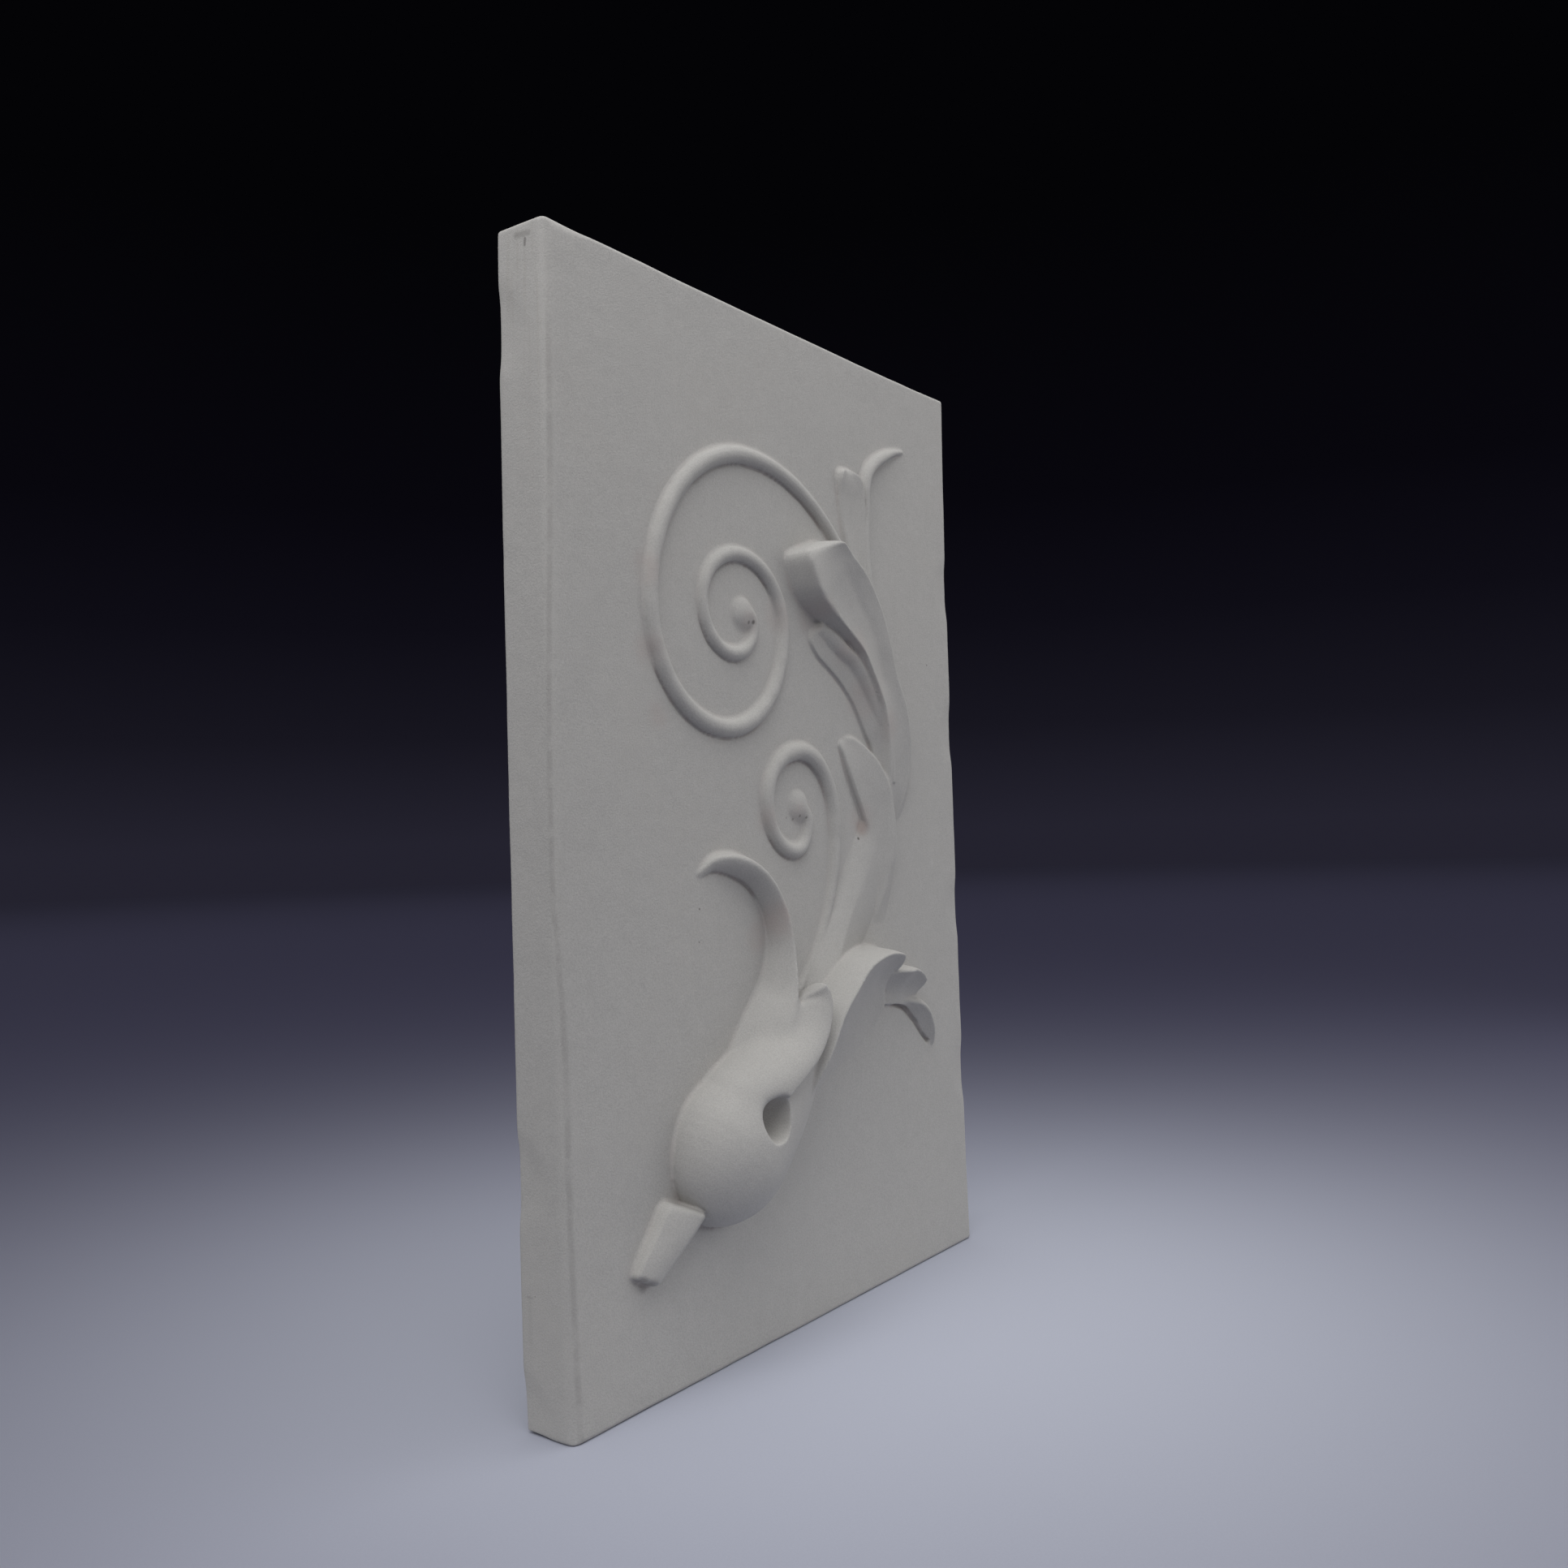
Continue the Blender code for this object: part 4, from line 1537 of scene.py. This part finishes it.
@dataclass(frozen=True)
class Mark:
    """A mark on the surface: a stroke from one point to another, or a spot where both agree."""

    start: Point
    end: Point
    width: float
    strength: float
    solid_share: float = 0.2

    def share(self, bench: Bench, place: Wire) -> Wire:
        """How strongly the mark shows at a place.

        Args:
            bench: The bench that the finish is built on.
            place: The place, in the shared frame.

        Returns:
            From 0 to the strength of the mark.
        """
        way = Vector(self.end) - Vector(self.start)
        if way.length_squared:
            reached = bench.vector("SUBTRACT", place, self.start)
            along = bench.vector("DOT_PRODUCT", reached, tuple(way / way.length_squared), "Value")
            within = bench.least(bench.most(along, 0.0), 1.0)
            nearest = bench.wire("ShaderNodeVectorMath", {"operation": "SCALE"},
                                 {0: tuple(way), "Scale": within}, "Vector")
            gap = bench.vector("DISTANCE", reached, nearest, "Value")
        else:
            gap = bench.vector("DISTANCE", place, self.start, "Value")
        solid = self.solid_share * self.width
        return bench.ramp(gap, solid, self.width, self.strength, 0.0)


@dataclass(frozen=True)
class MouldSeam:
    """The fine seam that runs up the rounded left front edge.

    Each row holds a height above the foot in millimetres and how far the seam lies onto the
    face, or behind the edge where that is negative. That distance is in steps, of which so
    many go to a metre across the face and so many to a metre of the slab's side.
    """

    slab: Slab = Slab()
    across: float = 580.0
    behind: float = 810.0
    largest: float = 4.0
    width: tuple[float, float] = (0.4, 2.2)
    faint_heights: tuple[float, float] = (0.50, 0.59)
    faint_share: float = 0.3
    front: tuple[float, float] = (-0.010, -0.008)
    rows: Rows = ((0, 2.6), (23, 2.3), (40, 2.0), (75, 1.45), (96, 1.2), (110, 0.8), (117, 1.2),
                  (128, 0.6), (138, 0.9), (156, 1.0), (232, -1.2), (245, -1.75), (260, -3.1),
                  (285, -3.4), (483, 0.41), (523, 0.75), (565, 0.93), (600, 1.0))

    def share(self, bench: Bench, place: Wire) -> Wire:
        """How strongly the seam shows at a place.

        Args:
            bench: The bench that the finish is built on.
            place: The place, in the shared frame.

        Returns:
            From 0 to 1.
        """
        split = bench.node("ShaderNodeSeparateXYZ", None, {0: place})
        x, y, z = (Wire(bench, output) for output in split.outputs)
        slab = self.slab
        turn = z / (slab.height / 2) - 1
        edge = turn * turn * turn * turn * slab.left_swell - (slab.width / 2 + slab.left_swell)
        offset = (x - edge) * self.across - (y + slab.thickness / 2) * self.behind
        curve = bench.node("ShaderNodeFloatCurve", None, {"Value": z / slab.height})
        points = curve.mapping.curves[0].points
        spots = [(height / slab.height / 1000, 0.5 + onto / self.largest / 2)
                 for height, onto in self.rows]
        points[0].location, points[-1].location = spots[0], spots[-1]
        for spot in spots[1:-1]:
            points.new(*spot)
        curve.mapping.update()
        wander = (Wire(bench, curve.outputs[0]) - 0.5) * (2 * self.largest)
        line = bench.ramp(abs(offset - wander), *self.width, 1.0, 0.0)
        worn = bench.ramp(bench.noise(place, 90, 2), 0.35, 0.55, 0.35, 1.0)
        faint = bench.ramp(z, *self.faint_heights, 1.0, self.faint_share)
        return line * worn * faint * bench.ramp(y, *self.front, 1.0, 0.0)


@dataclass(frozen=True)
class PlasterFinish:
    """Matt casting plaster: fine grain, soft mottling, faint stains, pinholes, a seam and painted
    shade in its hollows.
    """

    name: str = "casting_plaster"
    base: Colour = (0.43, 0.42, 0.405, 1)
    worn: Colour = (0.38, 0.36, 0.335, 1)
    # Pinkish colour of the blush stains, and of the painted shade in the crevices.
    blush_and_shade: Colour = (0.40, 0.335, 0.315, 1)
    # Dark colour of dirt on the seam, marks, specks and pinholes, and of painted shade along the
    # contact lines.
    dirt_and_shade: Colour = (0.10, 0.092, 0.085, 1)
    rust: Colour = (0.20, 0.115, 0.085, 1)
    roughness: float = 0.88
    broad_scale: float = 14
    middle_scale: float = 110
    grain_scale: float = 1100
    grain_roughness: float = 0.7
    seam_strength: float = 0.17
    # How dark the painted shade along the contact lines is.
    contact_shade_strength: float = 0.32
    bump_depth: float = 0.0003
    flattened: Point = (1, 0.2, 1)
    grid: DrawingGrid = DrawingGrid()
    seam: MouldSeam = MouldSeam()
    side_marks: tuple[Mark, ...] = (
        Mark((-0.2002, 0.0027, 0.5938), (-0.2002, -0.0059, 0.5930), 0.0026, 0.32),
        Mark((-0.2004, -0.0035, 0.5905), (-0.2004, -0.0033, 0.5875), 0.0014, 0.55),
        Mark((-0.2012, 0.0116, 0.0675), (-0.2012, 0.0082, 0.0675), 0.0010, 0.18),
        Mark((-0.2012, 0.0099, 0.0655), (-0.2010, 0.0099, 0.046), 0.0022, 0.06))
    specks: Rows = ((217, 226, 3, 1.5, 0.95), (56, 191, 0, 1.0, 0.7), (55, 173, 0, 0.8, 0.6),
                    (101, 291, 0, 0.9, 0.6), (314, 345, 0, 1.0, 0.6), (105, 353, 3, 1.6, 0.6),
                    (109, 353.5, 3, 1.8, 0.8), (140, 240, 3, 1.2, 0.6), (146, 239, 3, 1.4, 0.6),
                    (151, 241, 3, 1.3, 0.6), (157, 240, 3, 1.2, 0.6), (2, 3, 3, 6, 0.3),
                    (-3, 7, 4, 4, 0.3))
    blushes: Rows = ((17, 373, 0, 14, 0.35), (18, 330, 0, 14, 0.35), (26, 296, 0, 12, 0.3),
                     (135, 360, 3, 16, 0.3), (119, 182, 10, 16, 0.5), (108, 172, 6, 14, 0.4),
                     (118, 239, 2, 12, 0.35), (220, 238, 4, 16, 0.35), (204, 346, 3, 18, 0.35),
                     (223, 316, 5, 20, 0.35), (247, 300, 8, 16, 0.3), (168, 363, 2, 16, 0.35),
                     (105, 353, 3, 10, 0.35), (150, 243, 3, 10, 0.3))
    stains: Rows = ((221, 233, 4, 8, 0.35),)

    def marks(self, bench: Bench, place: Wire, rows: Rows) -> Wire:
        """How strongly any of the drawn spots shows.

        Args:
            bench: The bench that the finish is built on.
            place: The place, in the shared frame.
            rows: Squares across and up, the rise, the radius in squares and the strength.

        Returns:
            From 0 to the largest strength.
        """
        shown_most: Wire | float = 0.0
        pressed = bench.vector("MULTIPLY", place, self.flattened)
        for x, y, rise, radius, strength in rows:
            spot = tuple(a * b for a, b in zip(self.grid.place(x, y, rise), self.flattened))
            mark = Mark(spot, spot, radius * self.grid.square, strength)
            shown_most = bench.most(shown_most, mark.share(bench, pressed))
        return shown_most

    def plain(self, bench: Bench, broad: Wire, middle: Wire, grain: Wire) -> Wire:
        """The colour of clean plaster, softly mottled and grained.

        Args:
            bench: The bench that the finish is built on.
            broad: Broad noise.
            middle: Noise of a middle size.
            grain: The finest noise.

        Returns:
            The colour.
        """
        tone = 1 + (broad - 0.5) * 0.10 + (middle - 0.5) * 0.08 + (grain - 0.5) * 0.46
        grey = bench.wire("ShaderNodeCombineColor", None,
                          {"Red": tone, "Green": tone, "Blue": tone})
        return bench.tint(1.0, self.base, grey, "MULTIPLY")

    def dust(self, bench: Bench, place: Wire, broad: Wire) -> Wire:
        """Where dust lies: in broad patches, and in streaks down the head of the left side.

        Args:
            bench: The bench that the finish is built on.
            place: The place, in the shared frame.
            broad: Broad noise.

        Returns:
            How strongly it shows.
        """
        split = bench.node("ShaderNodeSeparateXYZ", None, {0: place})
        x, _, z = (Wire(bench, output) for output in split.outputs)
        patches = bench.ramp(broad, 0.45, 0.75) * 0.15
        drawn_out = bench.vector("MULTIPLY", place, (1, 1, 0.05))
        streaks = (bench.ramp(bench.noise(drawn_out, 300, 2), 0.5, 0.7)
                   * bench.ramp(z, 0.42, 0.58) * bench.ramp(x, -0.199, -0.196, 0.35, 0.0))
        return bench.most(patches, streaks)

    def pinholes(self, bench: Bench, place: Wire) -> Wire:
        """Where air bubbles left pinholes, in loose groups.

        Args:
            bench: The bench that the finish is built on.
            place: The place, in the shared frame.

        Returns:
            How strongly they show.
        """
        pits = bench.wire("ShaderNodeTexVoronoi", {"feature": "F1"},
                          {"Vector": place, "Scale": 60.0}, "Distance")
        groups = bench.ramp(bench.noise(place, 25, 1), 0.56, 0.62)
        return bench.ramp(pits, 0.010, 0.022, 0.5, 0.0) * groups

    def lines(self, bench: Bench, place: Wire, contact_shade: Wire) -> Wire:
        """Where dirt draws a line or a spot, and painted shade darkens the contact lines: the seam,
        the contact lines, the marks and the specks.

        Args:
            bench: The bench that the finish is built on.
            place: The place, in the shared frame.
            contact_shade: How strongly the place lies in a knife-cut corner along a contact line,
                which is darkened with painted shade.

        Returns:
            How strongly it shows.
        """
        # The seam is dirt; the contact lines get painted shade.
        found = bench.most(self.seam.share(bench, place) * self.seam_strength,
                           contact_shade * self.contact_shade_strength)
        for mark in self.side_marks:
            found = bench.most(found, mark.share(bench, place))
        return bench.most(found, self.marks(bench, place, self.specks))

    def relief(self, bench: Bench, place: Wire, fine: Wire, pinhole: Wire) -> Wire:
        """The finest unevenness: the grain, the pinholes and the trowelled back.

        Args:
            bench: The bench that the finish is built on.
            place: The place, in the shared frame.
            fine: The height of the grain.
            pinhole: How strongly a pinhole shows.

        Returns:
            The normal.
        """
        depth = bench.wire("ShaderNodeSeparateXYZ", None, {0: place}, "Y")
        strokes = bench.noise(bench.vector("MULTIPLY", place, (1, 1, 0.35)), 60, 3)
        trowelled = strokes * bench.ramp(depth, 0.0150, 0.0168) * 8
        return bench.wire("ShaderNodeBump", None, {
            "Strength": 1.0, "Distance": self.bump_depth,
            "Height": fine + trowelled - pinhole * 2,
        })

    def make(self) -> bpy.types.Material:
        """Build the material.

        Returns:
            The material.
        """
        material = bpy.data.materials.new(self.name)
        bench = Bench(material)
        place = bench.wire("ShaderNodeTexCoord", None, None, "Object")
        # The crevice and contact-line notes carry painted shade; the rim note only lowers the
        # roughness.
        crevice, contact_shade, rim = (
            bench.wire("ShaderNodeAttribute", {"attribute_name": name}, None, "Fac")
            for name in ("crevice", "contact_shade", "rim"))
        broad = bench.noise(place, self.broad_scale, 3)
        middle = bench.noise(place, self.middle_scale, 3)
        grain = bench.noise(place, self.grain_scale, 3, self.grain_roughness)
        pinhole = self.pinholes(bench, place)
        colour = self.plain(bench, broad, middle, grain)
        colour = bench.tint(self.dust(bench, place, broad), colour, self.worn)
        pinkish = self.marks(bench, place, self.blushes) * bench.ramp(middle, 0.35, 0.6, 0.5, 1)
        # Painted shade in the crevices, in the blush colour, broken up by the middle noise.
        held = crevice * bench.ramp(middle, 0.3, 0.7) * 0.4
        colour = bench.tint(bench.most(pinkish, held), colour, self.blush_and_shade)
        colour = bench.tint(self.marks(bench, place, self.stains), colour, self.rust)
        # Dark dirt on the seam, marks, specks and pinholes, and painted shade along the contact
        # lines.
        dirt_and_shade_share = bench.most(self.lines(bench, place, contact_shade), pinhole)
        colour = bench.tint(dirt_and_shade_share, colour, self.dirt_and_shade)
        rough = self.roughness + (grain - 0.5) * 0.1 - rim * 0.06
        shader = bench.node("ShaderNodeBsdfPrincipled", None, {
            "Base Color": colour, "Roughness": rough, "Specular IOR Level": 0.25,
            "Normal": self.relief(bench, place, grain * 0.8 + middle * 0.9, pinhole),
        })
        bench.node("ShaderNodeOutputMaterial", None,
                   {"Surface": Wire(bench, shader.outputs["BSDF"])})
        return material


@dataclass(frozen=True)
class Studio:
    """The pale floor with its painted pool of light, the dark glowing backdrop, the soft light and
    the camera.
    """

    lens: float = 32.147
    sensor: float = 36.0
    azimuth: float = -54.4396
    elevation: float = -1.9627
    roll: float = -1.7305
    spot: Point = (-0.6888, -0.5012, 0.2916)
    lamps: tuple[tuple[Point, float], ...] = (((-0.80, -0.28, 1.35), 8.8),
                                              ((1.10, -0.90, 0.60), 4.2),
                                              ((0.0, -0.35, 1.75), 6.2))
    lamp_aim: Point = (0.0, 0.0, 0.30)
    lamp_width: float = 1.2
    ambient: float = 0.515
    # The floor paper's painted pool of light: its colour in the pool, away from it and at the
    # floor's edge.
    floor_near: Colour = (0.460, 0.478, 0.558, 1)
    floor_far: Colour = (0.056, 0.054, 0.092, 1)
    floor_edge: Colour = (0.0345, 0.033, 0.055, 1)
    pool_spot: tuple[float, float] = (0.031, -0.038)
    pool_reach: float = 0.70
    fade_start: float = 3.5
    floor_reach: float = 9.0
    dome_radius: float = 12.0
    # Painted glow of the backdrop, from just above the floor to high up.
    dome_tones: tuple[tuple[float, Colour], ...] = (
        (0.024, (0.0175, 0.0165, 0.0275, 1)), (0.10, (0.0086, 0.0080, 0.0137, 1)),
        (0.18, (0.0044, 0.0040, 0.0075, 1)), (0.265, (0.0024, 0.0021, 0.0040, 1)),
        (0.45, (0.0012, 0.0012, 0.0018, 1)))

    def camera(self) -> bpy.types.Object:
        """Set the camera where the photograph was taken from.

        Returns:
            The camera.
        """
        a, e, r = (math.radians(v) for v in (self.azimuth, self.elevation, self.roll))
        back = Vector((math.sin(a) * math.cos(e), -math.cos(a) * math.cos(e), math.sin(e)))
        level = Vector((math.cos(a), math.sin(a), 0))
        upright = back.cross(level)
        right = level * math.cos(r) + upright * math.sin(r)
        up = upright * math.cos(r) - level * math.sin(r)
        made = bpy.data.cameras.new("camera")
        made.lens = self.lens
        made.sensor_width = self.sensor
        made.clip_end = 100
        item = bpy.data.objects.new("camera", made)
        turned = Matrix((right, up, back)).transposed().to_4x4()
        item.matrix_world = Matrix.Translation(self.spot) @ turned
        bpy.context.scene.collection.objects.link(item)
        bpy.context.scene.camera = item
        return item

    def lights(self) -> None:
        """Large soft lamps above and to the right, and even light from all sides."""
        for spot, power in self.lamps:
            lamp = bpy.data.lights.new("soft_lamp", "AREA")
            lamp.shape = "DISK"
            lamp.size = self.lamp_width
            lamp.energy = power
            item = bpy.data.objects.new("soft_lamp", lamp)
            item.location = spot
            back = Vector(spot) - Vector(self.lamp_aim)
            item.rotation_euler = back.to_track_quat("Z", "Y").to_euler()
            item.visible_camera = False
            bpy.context.scene.collection.objects.link(item)
        world = bpy.data.worlds.new("studio")
        world.use_nodes = True
        background = world.node_tree.nodes["Background"]
        background.inputs["Color"].default_value = (1, 1, 1, 1)
        background.inputs["Strength"].default_value = self.ambient
        bpy.context.scene.world = world

    def floor_finish(self) -> bpy.types.Material:
        """Matt pale paper with a painted pool of light that fades into painted dark away from it.

        Returns:
            The material.
        """
        material = bpy.data.materials.new("floor_paper")
        bench = Bench(material)
        place = bench.wire("ShaderNodeTexCoord", None, None, "Object")
        # Painted pool of light: the paper is brightest at the pool's spot and darker with distance
        # from it.
        away = bench.wire("ShaderNodeVectorMath", {"operation": "DISTANCE"},
                          {0: place, 1: (*self.pool_spot, 0)}, "Value")
        spread = 1 + (away / self.pool_reach) * (away / self.pool_reach)
        grain = bench.noise(place, 900, 2, 0.7)
        lit = (1 + (grain - 0.5) * 0.10) / (spread * spread)
        faded = bench.ramp(away, self.fade_start, self.floor_reach)
        distant = bench.tint(faded, self.floor_far, self.floor_edge)
        colour = bench.tint(lit, distant, self.floor_near)
        shader = bench.node("ShaderNodeBsdfPrincipled", None, {
            "Base Color": colour, "Roughness": 0.95, "Specular IOR Level": 0.0,
        })
        bench.node("ShaderNodeOutputMaterial", None,
                   {"Surface": Wire(bench, shader.outputs["BSDF"])})
        return material

    def floor(self) -> bpy.types.Object:
        """Lay the round floor that the cast stands on.

        Returns:
            Nothing; the floor is marked as a backdrop.
        """
        mesh = bpy.data.meshes.new("floor")
        disc = bmesh.new()
        bmesh.ops.create_circle(disc, cap_ends=True, segments=96, radius=self.floor_reach)
        disc.to_mesh(mesh)
        disc.free()
        mesh.materials.append(self.floor_finish())
        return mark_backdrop(shown("floor", mesh))

    def dome_finish(self) -> bpy.types.Material:
        """Dark backdrop with a painted glow, faintest at the top and brightest near the floor.

        Returns:
            The material.
        """
        material = bpy.data.materials.new("dark_backdrop")
        bench = Bench(material)
        place = bench.wire("ShaderNodeTexCoord", None, None, "Object")
        height = bench.wire("ShaderNodeSeparateXYZ", None, {0: place}, "Z")
        ramp = bench.node("ShaderNodeValToRGB", None, {0: height / self.dome_radius})
        while len(ramp.color_ramp.elements) < len(self.dome_tones):
            ramp.color_ramp.elements.new(1.0)
        for element, (spot, colour) in zip(ramp.color_ramp.elements, self.dome_tones):
            element.position = spot
            element.color = colour
        glow = bench.node("ShaderNodeEmission", None,
                          {"Color": Wire(bench, ramp.outputs["Color"])})
        bench.node("ShaderNodeOutputMaterial", None,
                   {"Surface": Wire(bench, glow.outputs["Emission"])})
        return material

    def dome(self) -> bpy.types.Object:
        """Hang the dark backdrop, which is seen but takes no part in the light.

        Returns:
            Nothing; the backdrop is marked as a backdrop.
        """
        mesh = bpy.data.meshes.new("backdrop")
        shell = bmesh.new()
        bmesh.ops.create_uvsphere(shell, u_segments=96, v_segments=48, radius=self.dome_radius)
        bmesh.ops.reverse_faces(shell, faces=shell.faces)
        shell.to_mesh(mesh)
        shell.free()
        mesh.shade_smooth()
        mesh.materials.append(self.dome_finish())
        item = shown("backdrop", mesh)
        item.visible_diffuse = False
        item.visible_glossy = False
        item.visible_transmission = False
        item.visible_shadow = False
        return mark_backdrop(item)

    def build(self) -> None:
        """Set up the studio."""
        self.camera()
        self.lights()
        self.floor()
        self.dome()
        view = bpy.context.scene.view_settings
        view.view_transform = "Standard"
        view.look = "None"


def main() -> None:
    """Build the dressed scene and report each piece."""
    logging.basicConfig(level=logging.INFO, format="%(name)s: %(message)s")
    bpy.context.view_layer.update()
    Studio().build()
    finish = PlasterFinish().make()
    piece = Cast().build(finish)
    log.info("%s: %d triangles", piece.name, len(piece.data.polygons))


if __name__ == "__main__":
    main()
